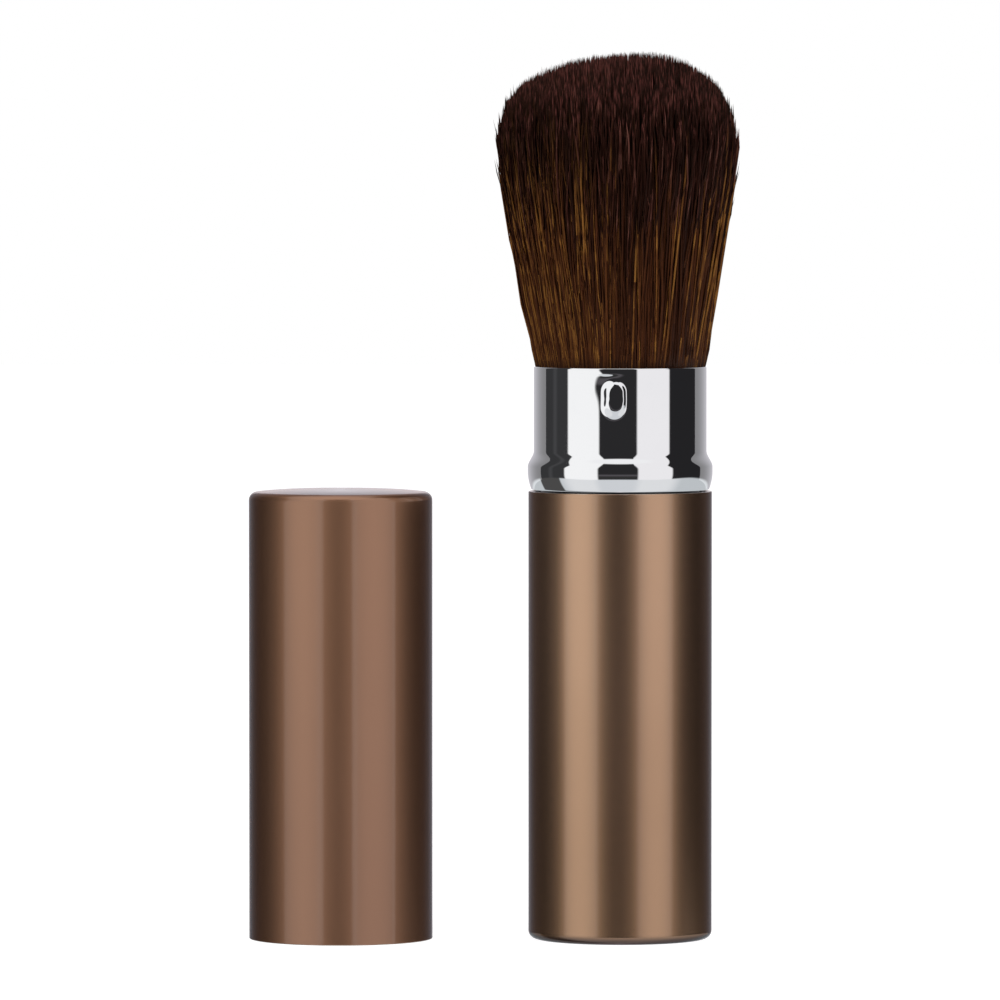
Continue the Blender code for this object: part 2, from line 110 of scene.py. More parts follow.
# %% [markdown]
# Camera
#
# The photograph is a catalogue picture from about a metre away: the tubes' sides stay parallel, the
# flat top of the cap is a thin sliver, and the handle's foot is a shallow curve. A long lens a
# little above the brush's middle gives all three. A shifted lens would too, but aiming at the middle
# of the picture keeps the other views centred.

# %% Set the camera
PICTURE_CENTRE = Vector((-14.4, 0, 52.62)) * MM
EYE_HEIGHT = 94 * MM
EYE_DISTANCE = 1100 * MM
PICTURE_WIDTH = 119.86 * MM
SENSOR_WIDTH = 36.0

eye = Vector((PICTURE_CENTRE.x, -EYE_DISTANCE, EYE_HEIGHT))
sight = PICTURE_CENTRE - eye
camera_data = bpy.data.cameras.new("camera")
camera_data.sensor_width = SENSOR_WIDTH
camera_data.lens = SENSOR_WIDTH * sight.length / PICTURE_WIDTH
camera = bpy.data.objects.new("camera", camera_data)
camera.location = eye
camera.rotation_euler = sight.to_track_quat("-Z", "Y").to_euler()
bpy.context.collection.objects.link(camera)
bpy.context.scene.camera = camera
bpy.context.scene.view_settings.view_transform = "Standard"
print("lens %.0f mm, looking down by %.2f degrees" % (
    camera_data.lens, math.degrees(math.asin(-sight.z / sight.length))))

# %% [markdown]
# Arithmetic on sockets
#
# A finish is a small program made of nodes. Wiring each Math node by hand hides the formula, so one
# class wraps an output socket and lets Python's own operators add the Math nodes. A second class
# holds the nodes of one finish and adds any node by its kind, settings and sockets.

# %% A socket that Python can calculate with
class Socket:
    """One output of a node. An expression with it adds Math nodes."""

    def __init__(self, sheet, output):
        self.sheet = sheet
        self.output = output

    def maths(self, operation, first, second=0.0):
        return self.sheet.node("Math", {"operation": operation}, {0: first, 1: second})

    def __add__(self, other):
        return self.maths("ADD", self, other)

    def __sub__(self, other):
        return self.maths("SUBTRACT", self, other)

    def __rsub__(self, other):
        return self.maths("SUBTRACT", other, self)

    def __mul__(self, other):
        return self.maths("MULTIPLY", self, other)

    def __abs__(self):
        return self.maths("ABSOLUTE", self)

    def other(self, name):
        """Another output of the same node."""
        return Socket(self.sheet, self.output.node.outputs[name])

    __radd__ = __add__
    __rmul__ = __mul__

# %% The nodes of one finish
class NodeSheet:
    """The node tree of a material or of the world, which starts empty."""

    def __init__(self, owner):
        owner.use_nodes = True
        self.owner = owner
        self.tree = owner.node_tree
        self.tree.nodes.clear()

    def node(self, kind, settings=None, sockets=None, output=0):
        """Adds a shader node of a kind: its settings, then the values or links of its sockets."""
        added = self.tree.nodes.new("ShaderNode" + kind)
        for name, value in (settings or {}).items():
            if name == "stops":
                self.set_stops(added.color_ramp, value)
            else:
                setattr(added, name, value)
        for key, value in (sockets or {}).items():
            if isinstance(value, Socket):
                self.tree.links.new(value.output, added.inputs[key])
            else:
                added.inputs[key].default_value = value
        return Socket(self, added.outputs[output]) if added.outputs else None

    def set_stops(self, ramp, stops):
        """Fills a colour ramp with (place, colour) stops."""
        while len(ramp.elements) > 1:
            ramp.elements.remove(ramp.elements[-1])
        ramp.elements[0].position, ramp.elements[0].color = stops[0]
        for place, colour in stops[1:]:
            ramp.elements.new(place).color = colour

    def mix(self, factor, first, second):
        """One colour fading into another."""
        sockets = {0: factor, 6: first, 7: second}
        return self.node("Mix", {"data_type": "RGBA"}, sockets, 2)

    def place(self):
        """The place on the object, in its own metres."""
        return self.node("TexCoord", output="Object")

    def split(self, vector):
        """The three parts of a vector."""
        parts = self.node("SeparateXYZ", {}, {0: vector})
        return [parts.other(axis) for axis in "XYZ"]

    def step(self, value, start, end):
        """A soft step that is 0 up to start and 1 from end on."""
        sockets = {"Value": value, "From Min": start, "From Max": end}
        return self.node("MapRange", {"interpolation_type": "SMOOTHSTEP"}, sockets)

    def noise(self, place, scale, detail=2.0):
        """Cloudy noise from 0 to 1 at a place."""
        sockets = {"Vector": place, "Scale": scale, "Detail": detail}
        return self.node("TexNoise", {}, sockets)

    def stretched(self, place, scale):
        """A place scaled in its three directions, which stretches a pattern made on it."""
        return self.node("VectorMath", {"operation": "MULTIPLY"}, {0: place, 1: scale})

    def bump(self, height, distance, strength=1.0):
        """A normal that follows a height."""
        sockets = {"Height": height, "Distance": distance, "Strength": strength}
        return self.node("Bump", {}, sockets)

    def surface(self, sockets):
        """The finish itself: one Principled shader on the material's output."""
        shader = self.node("BsdfPrincipled", {}, sockets)
        self.node("OutputMaterial", {}, {"Surface": shader})
        print("finish %s: %d nodes" % (self.owner.name, len(self.tree.nodes)))
        return self.owner


def colour(red, green, blue):
    """A colour with its fourth number, as sockets want it."""
    return (red, green, blue, 1.0)


def new_sheet(name):
    """The empty sheet of a new material."""
    return NodeSheet(bpy.data.materials.new(name))


# %% [markdown]
# The studio
#
# Polished metal is a picture of the room around it. The chrome in the photograph shows that room
# plainly: a dark gap around the camera, a tall white light box on each side of it, dark sides
# behind the boxes, a pale backdrop behind the brush, and white over the camera and on the table.
# Lamps and cards could be placed for each, but a world that changes with direction holds them all
# without noise. The bead shows more: the gap is lighter just over the table, the white overhead
# comes lower behind the brush, and a dark thing lies on the table's left. The camera itself sees
# plain white, and metal a faintly violet white straight behind the brush.

# %% The room, as a formula of direction
CAMERA_GAP = (-28.9, 21.7)
BOX_ENDS = (-74.8, 68.3)
SIDE_ENDS = (-118.3, 118.5)
BOX_EDGE = 1.6
BOX_CHANGE = 10.0
WALL_FADE = (20.0, 80.0)
DARK_ROOM = colour(0.0235, 0.0230, 0.0245)
LOW_ROOM = colour(0.088, 0.082, 0.090)
LOW_ROOM_TOP = (-4.5, -2.0)
UNDER_ROOM = colour(0.034, 0.034, 0.034)
UNDER_ROOM_TOP = (-9.0, -5.5)
LEFT_WALL = colour(0.038, 0.038, 0.040)
LEFT_STREAK = colour(0.060, 0.060, 0.063)
STREAK_BEARING = -98.3
STREAK_HALF = 6.5
RIGHT_WALL = colour(0.0185, 0.0180, 0.0195)
LEFT_BOX = colour(1.0, 1.0, 1.0)
RIGHT_BOX = colour(0.92, 0.905, 0.92)
BACKDROP_NEAR = colour(0.050, 0.047, 0.053)
BACKDROP_FAR = colour(0.40, 0.39, 0.43)
BACKDROP_SPAN = (118.0, 176.0)
BACKDROP_TOP = (88.0, 100.0)
STRAIGHT_BEHIND = colour(1.0, 0.94, 0.99)
STRAIGHT_SPAN = (166.0, 178.0)
CEILING = colour(0.95, 0.95, 0.96)
CEILING_LOW = 50.0
CEILING_LOWER_BEHIND = 14.0
CEILING_TURN = (80.0, 140.0)
CEILING_EDGE = 5.0
SPREAD_START = 30.0
CEILING_SPREAD = 0.066
TABLE_AT_WALLS = colour(0.56, 0.59, 0.61)
TABLE_AT_GAP = colour(0.67, 0.69, 0.715)
TABLE_AT_BOXES = colour(0.79, 0.80, 0.81)
DARK_THING = colour(0.075, 0.073, 0.072)
DARK_THING_BEARING = -103.0
DARK_THING_HALF = 19.0
WALLS_ON_TABLE = (62.0, 88.0)
BOXES_ON_TABLE = (20.0, 34.0)
TABLE_MIDDLE = -4.0
TABLE_EDGE = 16.0
TABLE_RISE = 6.5
TABLE_TURN = (35.0, 105.0)
TABLE_SOFT = (-1.5, 1.5)

room = NodeSheet(bpy.data.worlds.new("studio"))
bpy.context.scene.world = room.owner
direction = room.node("TexCoord", output="Generated")
across, along, up = room.split(direction)
bearing = across.maths("ARCTAN2", across, -1 * along) * math.degrees(1)
height = up.maths("ARCSINE", up) * math.degrees(1)


def past(angle, limit):
    """1 where an angle is past a limit, with the soft edge of a light box."""
    return room.step(angle, limit - BOX_EDGE, limit + BOX_EDGE)


lifted = height.maths("MAXIMUM", height - SPREAD_START, 0.0)
spread = lifted * lifted * CEILING_SPREAD
past_left_gap = 1 - past(bearing, CAMERA_GAP[0])
past_right_gap = past(bearing, CAMERA_GAP[1])
within_left_box = past(bearing + spread, BOX_ENDS[0])
within_right_box = 1 - past(bearing - spread, BOX_ENDS[1])
boxes = past_left_gap * within_left_box + past_right_gap * within_right_box
behind = (1 - past(bearing, SIDE_ENDS[0]) + past(bearing, SIDE_ENDS[1])) * (
    1 - room.step(height, *BACKDROP_TOP))

gap_tone = room.mix(room.step(height, *UNDER_ROOM_TOP), UNDER_ROOM, LOW_ROOM)
gap_tone = room.mix(room.step(height, *LOW_ROOM_TOP), gap_tone, DARK_ROOM)
walls = room.mix(room.step(bearing, -WALL_FADE[1], -WALL_FADE[0]), LEFT_WALL, gap_tone)
walls = room.mix(room.step(bearing, *WALL_FADE), walls, RIGHT_WALL)
off_streak = room.step(abs(bearing - STREAK_BEARING), 0.0, STREAK_HALF)
walls = room.mix(1 - off_streak, walls, LEFT_STREAK)
box_light = room.mix(room.step(bearing, -BOX_CHANGE, BOX_CHANGE), LEFT_BOX, RIGHT_BOX)
backdrop = room.mix(room.step(abs(bearing), *BACKDROP_SPAN), BACKDROP_NEAR, BACKDROP_FAR)
studio = room.mix(boxes, walls, box_light)
studio = room.mix(behind, studio, backdrop)
ceiling_low = CEILING_LOW - CEILING_LOWER_BEHIND * room.step(abs(bearing), *CEILING_TURN)
overhead = room.step(height - ceiling_low, 0.0, CEILING_EDGE) * within_left_box * within_right_box
studio = room.mix(overhead, studio, CEILING)

under_walls = room.step(abs(bearing), *WALLS_ON_TABLE)
under_boxes = room.step(abs(bearing - TABLE_MIDDLE), *BOXES_ON_TABLE) * (1 - under_walls)
table_tone = room.mix(under_walls, TABLE_AT_GAP, TABLE_AT_WALLS)
table_tone = room.mix(under_boxes, table_tone, TABLE_AT_BOXES)
beside_thing = abs(bearing - DARK_THING_BEARING) - DARK_THING_HALF
table_tone = room.mix(room.step(beside_thing, *TABLE_SOFT), DARK_THING, table_tone)
table_depth = TABLE_RISE * room.step(abs(bearing), *TABLE_TURN) - height - TABLE_EDGE
studio = room.mix(room.step(table_depth, *TABLE_SOFT), studio, table_tone)

rays = room.node("LightPath")
mirrored = rays.other("Is Glossy Ray") + rays.other("Is Transmission Ray")
straight_behind = behind * room.step(abs(bearing), *STRAIGHT_SPAN)
studio = room.mix(mirrored * straight_behind, studio, STRAIGHT_BEHIND)
studio = room.mix(rays.other("Is Camera Ray"), studio, colour(1, 1, 1))
background = room.node("Background", {}, {"Color": studio, "Strength": 1.0})
room.node("OutputWorld", {}, {"Surface": background})
print("studio: %d nodes" % len(room.tree.nodes))

# %% [markdown]
# Lamps
#
# The two light boxes are also lamps, which give the hair and the plastics a direction to their
# light. Metal already sees the boxes in the world, so these lamps are hidden from glossy rays, or the
# tubes would show each box twice.
#
# Five more lamps are only for glossy rays. The photograph shows two things that one room can't: the
# cap's bands of light are wider than the handle's, and the bright cards behind the brush show in the
# chrome but hardly in the bronze. Light linking says which object a lamp lights. So two strips
# narrow the gap for the cap alone, a third widens its right band, and two cards leave out the tubes.

# %% Lamps
LAMP_DISTANCE = 1.0
BOX_HEIGHT = 0.45
BOX_SIZE = (0.7, 0.7)
BOX_RADIANCE = 3.06
BOX_BEARING = 50.0
STRIP_INNER = (-21.0, 15.0)
STRIP_SPAN = (-0.25, 1.5)
RIGHT_EDGE = (68.3, 72.8)
REAR_CARD = (118.3, 168.0)
REAR_SPAN = (-0.16, 1.0)
REAR_RADIANCE = 0.155


def add_lamp(name, about, bearing_degrees, height, size, radiance):
    """A rectangular lamp on a circle about a place. It faces that place at its own height."""
    data = bpy.data.lights.new(name, "AREA")
    data.shape = "RECTANGLE"
    data.size, data.size_y = size
    data.energy = 4 * radiance * size[0] * size[1]
    lamp = bpy.data.objects.new(name, data)
    angle = math.radians(bearing_degrees)
    outward = Vector((math.sin(angle), -math.cos(angle), 0))
    lamp.location = about + LAMP_DISTANCE * outward + Vector((0, 0, height))
    lamp.rotation_euler = (-outward).to_track_quat("-Z", "Y").to_euler()
    lamp.visible_camera = False
    bpy.context.collection.objects.link(lamp)
    print(name, "at", [round(value, 2) for value in lamp.location])
    return lamp


def add_card(name, about, start, end, span, radiance, lit):
    """A lamp for glossy rays only, from one bearing to another, which lights one collection."""
    width = 2 * LAMP_DISTANCE * math.tan(math.radians(abs(end - start) / 2))
    size = (width, span[1] - span[0])
    card = add_lamp(name, about, (start + end) / 2, sum(span) / 2, size, radiance)
    card.visible_diffuse = False
    card.visible_transmission = False
    card.light_linking.receiver_collection = lit
    return card


cap_alone = bpy.data.collections.new("cap_alone")
all_but_bronze = bpy.data.collections.new("all_but_bronze")
brush_foot = Vector((0, 0, 0))
cap_foot = Vector((CAP_X, 0, 0))
for side, name in ((-1, "left"), (1, "right")):
    box_lamp = add_lamp(
        name + "_box", brush_foot, side * BOX_BEARING, BOX_HEIGHT, BOX_SIZE, BOX_RADIANCE)
    aim = PICTURE_CENTRE - box_lamp.location
    box_lamp.rotation_euler = aim.to_track_quat("-Z", "Y").to_euler()
    box_lamp.visible_glossy = False
    gap = CAMERA_GAP[(side + 1) // 2]
    inner = STRIP_INNER[(side + 1) // 2]
    add_card(name + "_strip", cap_foot, gap, inner, STRIP_SPAN, 1.0, cap_alone)
    add_card(name + "_rear_card", brush_foot, side * REAR_CARD[0], side * REAR_CARD[1],
             REAR_SPAN, REAR_RADIANCE, all_but_bronze)
add_card("right_edge_strip", cap_foot, *RIGHT_EDGE, STRIP_SPAN, 1.0, cap_alone)

# %% [markdown]
# Floor
#
# The brush stands on a white table that runs into the background. The camera sees a white that is
# just full, so only a faint soft shadow stays around the foot. Metal sees the formula's table
# instead, so that the bands of light run down to the foot of the tubes.

# %% Floor with a soft shadow
FLOOR_HALF = 3.0
FLOOR_DROP = 0.01 * MM
FLOOR_GLOW = 0.93
FLOOR_WHITE = colour(0.28, 0.28, 0.28)

table = new_sheet("white_table")
matt = table.node("BsdfDiffuse", {}, {"Color": FLOOR_WHITE})
glow = table.node("Emission", {}, {"Strength": FLOOR_GLOW})
lit = table.node("AddShader", {}, {0: matt, 1: glow})
camera_ray = table.node("LightPath")
seen_white = table.node("MixShader", {}, {0: camera_ray, 1: matt, 2: lit})
table.node("OutputMaterial", {}, {"Surface": seen_white})

floor_mesh = bpy.data.meshes.new("floor")
signs = ((-1, -1), (1, -1), (1, 1), (-1, 1))
corners = [(x * FLOOR_HALF, y * FLOOR_HALF, -FLOOR_DROP) for x, y in signs]
floor_mesh.from_pydata(corners, [], [(0, 1, 2, 3)])
floor_mesh.materials.append(table.owner)
floor = bpy.data.objects.new("floor", floor_mesh)
floor.visible_glossy = False
bpy.context.collection.objects.link(floor)
floor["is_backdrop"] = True

# %% [markdown]
# Bronze
#
# The tubes are brushed lengthwise, brightened and anodised aluminium. The fine brushing spreads each
# light sideways into a soft band, but hardly up and down, so the surface is anisotropic. The dye
# lies in a clear oxide skin, the coat here, and light that grazes it is lost in the dye, so the tint
# of the grazing angle is nearly black. One function makes both finishes. The cap is brushed a little
# coarser, and its bands are wider and paler. The rims are rubbed through to lighter metal. The colour
# is painted darker towards the table, as painted shade, and a darker colour is painted around the
# handle's foot, as painted shade for the shade and the dark reflection of the table there.

# %% The bronze finish
GRAIN_SCALE = 7000.0
GRAIN_HEIGHT = 0.004 * MM
DRAWN_SCALE = 1600.0
DRAWN_STRETCH = (1.0, 1.0, 0.02)
UNEVEN_GLOSS = 0.02
DYE_SCALE = 55.0
DYE_SHARE = 0.15
RUB_SCALE = 700.0
RUB_SPREAD = (0.04 * MM, 0.12 * MM)
RUBBED_METAL = colour(0.72, 0.62, 0.53)
SIDEWAYS = 0.8
GRAZING_TINT = colour(0.05, 0.04, 0.06)
# Painted shade around the foot: the heights over which it fades, and its dark colour.
PAINTED_FOOT_SHADE_SPAN = (0.35 * MM, 1.25 * MM)
PAINTED_FOOT_SHADE = colour(0.110, 0.068, 0.055)


def bronze_finish(name, rim_height, roughness, light, deep, painted_foot_shade_strength):
    """Satin anodised bronze with its rim at a height, a painted shade that darkens it towards the
    table, and a strength for a painted shade around its foot.
    """
    sheet = new_sheet(name)
    place = sheet.place()
    level = sheet.split(place)[2]
    dye = sheet.step(sheet.noise(place, DYE_SCALE, 3.0), 0.3, 0.7)
    drawn = sheet.noise(sheet.stretched(place, DRAWN_STRETCH), DRAWN_SCALE)
    grain = sheet.noise(place, GRAIN_SCALE, 1.0)
    # Painted shade: the colour runs from the deep tone at the table up to the light one at the rim,
    # mixed with a random cloud of dye.
    lighter = sheet.step(level, 0.0, HANDLE_RIM) * (1 - DYE_SHARE) + dye * DYE_SHARE
    dye_and_painted_shade = sheet.mix(lighter, deep, light)
    # Painted shade: a dark colour around the foot, for the table's shade and its dark reflection
    # there.
    in_painted_foot_shade = 1 - sheet.step(level, *PAINTED_FOOT_SHADE_SPAN)
    dye_and_painted_shade = sheet.mix(in_painted_foot_shade * painted_foot_shade_strength, dye_and_painted_shade, PAINTED_FOOT_SHADE)
    worn = 1 - sheet.step(abs(level - rim_height), *RUB_SPREAD)
    rubbed = worn * sheet.step(sheet.noise(place, RUB_SCALE), 0.3, 0.6) * 0.5
    return sheet.surface({
        "Base Color": sheet.mix(rubbed, dye_and_painted_shade, RUBBED_METAL),
        "Metallic": 1.0,
        "Roughness": roughness + (grain - 0.5) * UNEVEN_GLOSS + (drawn - 0.5) * UNEVEN_GLOSS,
        "Anisotropic": SIDEWAYS,
        "Specular Tint": GRAZING_TINT,
        "Coat Weight": 0.8,
        "Coat Roughness": 0.12,
        "Coat IOR": 1.5,
        "Normal": sheet.bump(grain, GRAIN_HEIGHT, 0.03),
    })


# Each pair of tones runs from light at the rim to deep at the table, as painted shade, and also sets
# the range of the dye's random cloud.
HANDLE_ROUGHNESS = 0.262
HANDLE_DYE_AND_SHADE_TONES = (colour(0.590, 0.362, 0.224), colour(0.450, 0.264, 0.152))
CAP_ROUGHNESS = 0.333
CAP_DYE_AND_SHADE_TONES = (colour(0.382, 0.198, 0.116), colour(0.336, 0.172, 0.102))
handle_bronze = bronze_finish("handle_bronze", HANDLE_RIM, HANDLE_ROUGHNESS, *HANDLE_DYE_AND_SHADE_TONES, 1.0)
cap_bronze = bronze_finish("cap_bronze", 0.0, CAP_ROUGHNESS, *CAP_DYE_AND_SHADE_TONES, 0.0)

# %% [markdown]
# Chrome
#
# The collar is drawn brass, polished and plated. The plating is a mirror, but drawing and pressing
# leave it very slightly wavy, so the edges of the reflected light boxes wander a little. A long, low
# wave does that, and faint smears from fingers change the gloss.

# %% The chrome finish
WAVE_SCALE = 420.0
WAVE_STRETCH = (1.0, 1.0, 0.4)
WAVE_HEIGHT = 0.006 * MM
SMEAR_SCALE = 160.0

plating = new_sheet("collar_chrome")
place = plating.place()
waves = plating.noise(plating.stretched(place, WAVE_STRETCH), WAVE_SCALE, 1.0)
smears = plating.noise(place, SMEAR_SCALE, 3.0)
chrome = plating.surface({
    "Base Color": plating.mix(smears, colour(0.86, 0.865, 0.88), colour(0.90, 0.905, 0.915)),
    "Metallic": 1.0,
    "Roughness": 0.03 + plating.step(smears, 0.5, 0.8) * 0.03,
    "Normal": plating.bump(waves, WAVE_HEIGHT, 0.25),
})

# %% [markdown]
# Moulded plastics
#
# The liner and the sleeve are black acetal, which slides well and comes out of a spark-eroded mould
# with a fine waxy grain. The rod is the same plastic without colour. Both have a small bump and long
# scratches the way that the sleeve slides.

# %% Plastics
def plastic_finish(name, light, deep, roughness):
    """Moulded acetal with a fine mould grain and rubbing marks along its length."""
    sheet = new_sheet(name)
    place = sheet.place()
    grain = sheet.noise(place, 3500.0, 2.0)
    rubbing = sheet.noise(sheet.stretched(place, (1.0, 1.0, 0.03)), 2200.0)
    cloud = sheet.noise(place, 120.0)
    return sheet.surface({
        "Base Color": sheet.mix(cloud, deep, light),
        "Roughness": roughness + (rubbing - 0.5) * 0.25,
        "Normal": sheet.bump(grain + rubbing * 0.5, 0.02 * MM, 0.3),
    })


black_plastic = plastic_finish(
    "black_acetal", colour(0.024, 0.024, 0.026), colour(0.017, 0.017, 0.019), 0.38)
natural_plastic = plastic_finish(
    "natural_acetal", colour(0.78, 0.77, 0.73), colour(0.72, 0.71, 0.67), 0.42)

# %% [markdown]
# Hidden metal, resin and thread
#
# Only a cut through the handle would show these pieces, but the exported model keeps them, so they
# get their own finishes. Zinc plate is faintly mottled, drawn aluminium has fine rings around it,
# the resin is a clear amber with cloudy places, and the thread is laid in even turns. In each of
# them, colour, gloss and relief come from the same marks, so one function makes all four.
# Glossy rays will pass the handle by, so they pass these by too, or the cap would mirror a bright
# spot of steel that the handle really hides.

# %% Finishes of the hidden pieces
def marked_finish(name, stretch, scale, detail, colours, metallic, roughness, relief, strength):
    """A finish whose colour, gloss and relief follow one noise. Roughness goes from low to high."""
    sheet = new_sheet(name)
    marks = sheet.noise(sheet.stretched(sheet.place(), stretch), scale, detail)
    return sheet.surface({
        "Base Color": sheet.mix(marks, *colours),
        "Metallic": metallic,
        "Roughness": roughness[0] + marks * (roughness[1] - roughness[0]),
        "Normal": sheet.bump(marks, relief, strength),
    })


EVEN = (1.0, 1.0, 1.0)
RINGS = (0.05, 0.05, 1.0)
TURNS = (0.3, 0.3, 1.0)
zinc_colours = (colour(0.50, 0.52, 0.56), colour(0.62, 0.61, 0.57))
zinc_steel = marked_finish(
    "zinc_plate", EVEN, 900.0, 3.0, zinc_colours, 1.0, (0.3, 0.45), 0.01 * MM, 0.3)
drawn_colours = (colour(0.76, 0.77, 0.79), colour(0.84, 0.85, 0.87))
bright_aluminium = marked_finish(
    "drawn_aluminium", RINGS, 6000.0, 2.0, drawn_colours, 1.0, (0.16, 0.28), 0.004 * MM, 0.3)
amber_colours = (colour(0.24, 0.11, 0.03), colour(0.38, 0.21, 0.075))
amber_resin = marked_finish(
    "cast_resin", EVEN, 450.0, 3.0, amber_colours, 0.0, (0.15, 0.3), 0.03 * MM, 0.3)
thread_colours = (colour(0.44, 0.36, 0.26), colour(0.64, 0.56, 0.43))
waxed_thread = marked_finish(
    "waxed_thread", TURNS, 5000.0, 3.0, thread_colours, 0.0, (0.65, 0.85), 0.06 * MM, 0.6)

HIDDEN = {
    "base_weight": zinc_steel,
    "rod_screw": zinc_steel,
    "screw_washer": zinc_steel,
    "push_rod": natural_plastic,
    "ferrule": bright_aluminium,
    "resin_plug": amber_resin,
    "root_thread": waxed_thread,
}
for node, finish in HIDDEN.items():
    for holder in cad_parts[node].material_slots:
        holder.material = finish
    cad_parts[node].visible_glossy = False
print("finished CAD nodes:", ", ".join(HIDDEN))

# %% [markdown]
# Turning a tube
#
# Handle, cap, liner and sleeve are all bodies of revolution. A Screw modifier would turn an outline
# too, but spinning it in mesh code gives clean points on the axis and keeps sharp edges where the
# real piece has them. The CAD tubes have few facets, these have enough to be round.

# %% Outlines and turned pieces
TURN_STEPS = 192
SHARP = math.radians(35)


def arc(centre, radius, start, end, steps):
    """Points on an arc, from one angle to another in degrees."""
    angles = [math.radians(start + (end - start) * i / steps) for i in range(steps + 1)]
    return [(centre[0] + radius * math.cos(a), centre[1] + radius * math.sin(a)) for a in angles]


def smoothed(mesh):
    """Shades a mesh smooth, apart from its sharp edges."""
    mesh.shade_smooth()
    mesh.set_sharp_from_angle(angle=SHARP)
    return mesh


def built(mesh, name):
    """Makes a mesh of a bmesh, with all its faces outward."""
    bmesh.ops.recalc_face_normals(mesh, faces=mesh.faces)
    made = bpy.data.meshes.new(name)
    mesh.to_mesh(made)
    mesh.free()
    return made


def placed(name, mesh, material, body):
    """Makes an object of a mesh, with its finish, on the body that carries it."""
    mesh.materials.clear()
    mesh.materials.append(material)
    piece = bpy.data.objects.new(name, mesh)
    bpy.context.collection.objects.link(piece)
    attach(piece, body)
    print("%s: %d faces" % (name, len(mesh.polygons)))
    return piece


def turned(name, outline, ring=False, centre_x=0.0):
    """A mesh from an outline of (radius, height) that turns about a vertical axis."""
    mesh = bmesh.new()
    points = [mesh.verts.new((radius, 0, height)) for radius, height in outline]
    pairs = list(zip(points, points[1:]))
    if ring:
        pairs.append((points[-1], points[0]))
    edges = [mesh.edges.new(pair) for pair in pairs]
    bmesh.ops.spin(mesh, geom=points + edges, axis=(0, 0, 1), cent=(0, 0, 0),
                   angle=math.tau, steps=TURN_STEPS)
    bmesh.ops.remove_doubles(mesh, verts=mesh.verts, dist=0.0005 * MM)
    bmesh.ops.dissolve_degenerate(mesh, dist=0.0001 * MM, edges=mesh.edges)
    bmesh.ops.translate(mesh, verts=mesh.verts, vec=(centre_x, 0, 0))
    return smoothed(built(mesh, name))


# %% [markdown]
# Handle and cap
#
# Each tube is a cup drawn from sheet: a flat end, a rounded corner and a thin wall that ends in a
# cut rim. The cap is the same cup turned over. Its end falls a little towards the corner, which is
# why the photograph shows it as a pale ellipse with a shiny edge. Neither tube shows in the other
# there, as if each had been photographed alone, so glossy rays pass both of them by.

# %% The two cups
END_STEPS = 12
CORNER_STEPS = 8


def cup_outline(length, crown):
    """The outline of a drawn cup, from the middle of its end, round the rim and back inside."""
    bore = TUBE_RADIUS - SHELL_WALL
    flat = TUBE_RADIUS - TUBE_CORNER
    shares = [i / END_STEPS for i in range(END_STEPS)]
    end = [(flat * share, -crown * (1 - share ** CROWN_POWER)) for share in shares]
    inner_end = [(radius, level + SHELL_WALL) for radius, level in end]
    return [
        *end,
        *arc((flat, TUBE_CORNER), TUBE_CORNER, -90, 0, CORNER_STEPS),
        *arc((TUBE_RADIUS - RIM_ROUNDING, length - RIM_ROUNDING), RIM_ROUNDING, 0, 90, END_STEPS),
        (bore + RIM_CHAMFER, length),
        (bore, length - RIM_CHAMFER),
        *arc((flat, TUBE_CORNER), TUBE_CORNER - SHELL_WALL, 0, -90, CORNER_STEPS),
        *reversed(inner_end),
    ]


handle_mesh = turned("handle_tube", cup_outline(HANDLE_RIM, 0.0))
handle_tube = placed("handle_tube", handle_mesh, handle_bronze, "handle")
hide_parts("handle_shell")

cap_length = CAP_TOP - CAP_END_DROP
cap_outline = [(radius, cap_length - level) for radius, level in cup_outline(cap_length, CAP_CROWN)]
cap_mesh = turned("cap_tube", cap_outline, centre_x=CAP_X)
cap_tube = placed("cap_tube", cap_mesh, cap_bronze, "cap")
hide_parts("cap_shell")

cap_alone.objects.link(cap_tube)
for tube in (handle_tube, cap_tube):
    tube.visible_glossy = False
    all_but_bronze.objects.link(tube)
for member in all_but_bronze.collection_objects:
    member.light_linking.link_state = "EXCLUDE"

# %% [markdown]
# Liner and sleeve
#
# The black sleeve runs in the handle's black liner. At rest they show only as the dark line under
# the collar, but when the collar is pushed up, a long black tube comes out of the handle. The sleeve
# has two springy tongues that click into rings of the liner. The slits that free them are cut with
# an exact Boolean, as a tool would cut them. Glossy rays pass these two by as well, or the cap would
# mirror a black tube that the handle really hides.

# %% The black tubes
LINER_RADIUS = 10.4 * MM
LINER_BORE = 9.65 * MM
LINER_LOW = 3.1 * MM
LINER_FLOOR = 4.7 * MM
SCREW_HOLE = 1.5 * MM
RIB_HALF = 0.7 * MM
RIB_HEIGHT = 0.4 * MM
RIB_BITE = 0.35 * MM
RIB_BELOW_FLOOR = 0.8 * MM
RIB_BELOW_RIM = 1.4 * MM
GROOVE_DEPTH = 0.55 * MM
GROOVE_BELOW_COLLAR = 0.3 * MM
SLEEVE_RADIUS = 9.5 * MM
SLEEVE_BORE = 8.6 * MM
SLEEVE_LOW = 5.0 * MM
SLEEVE_FLOOR = 6.2 * MM
SLEEVE_HIGH = MOUTH - 3.0 * MM
FLANGE_RADIUS = 10.175 * MM
FLANGE_HEIGHT = 0.8 * MM
HEAD_RADIUS = 9.85 * MM
MOUTH_LIP = 0.35 * MM
MOUTH_FLARE = 2.5 * MM
ROD_HOLE = 3.2 * MM
EASED = 0.15 * MM
OVERRUN = 1.0 * MM


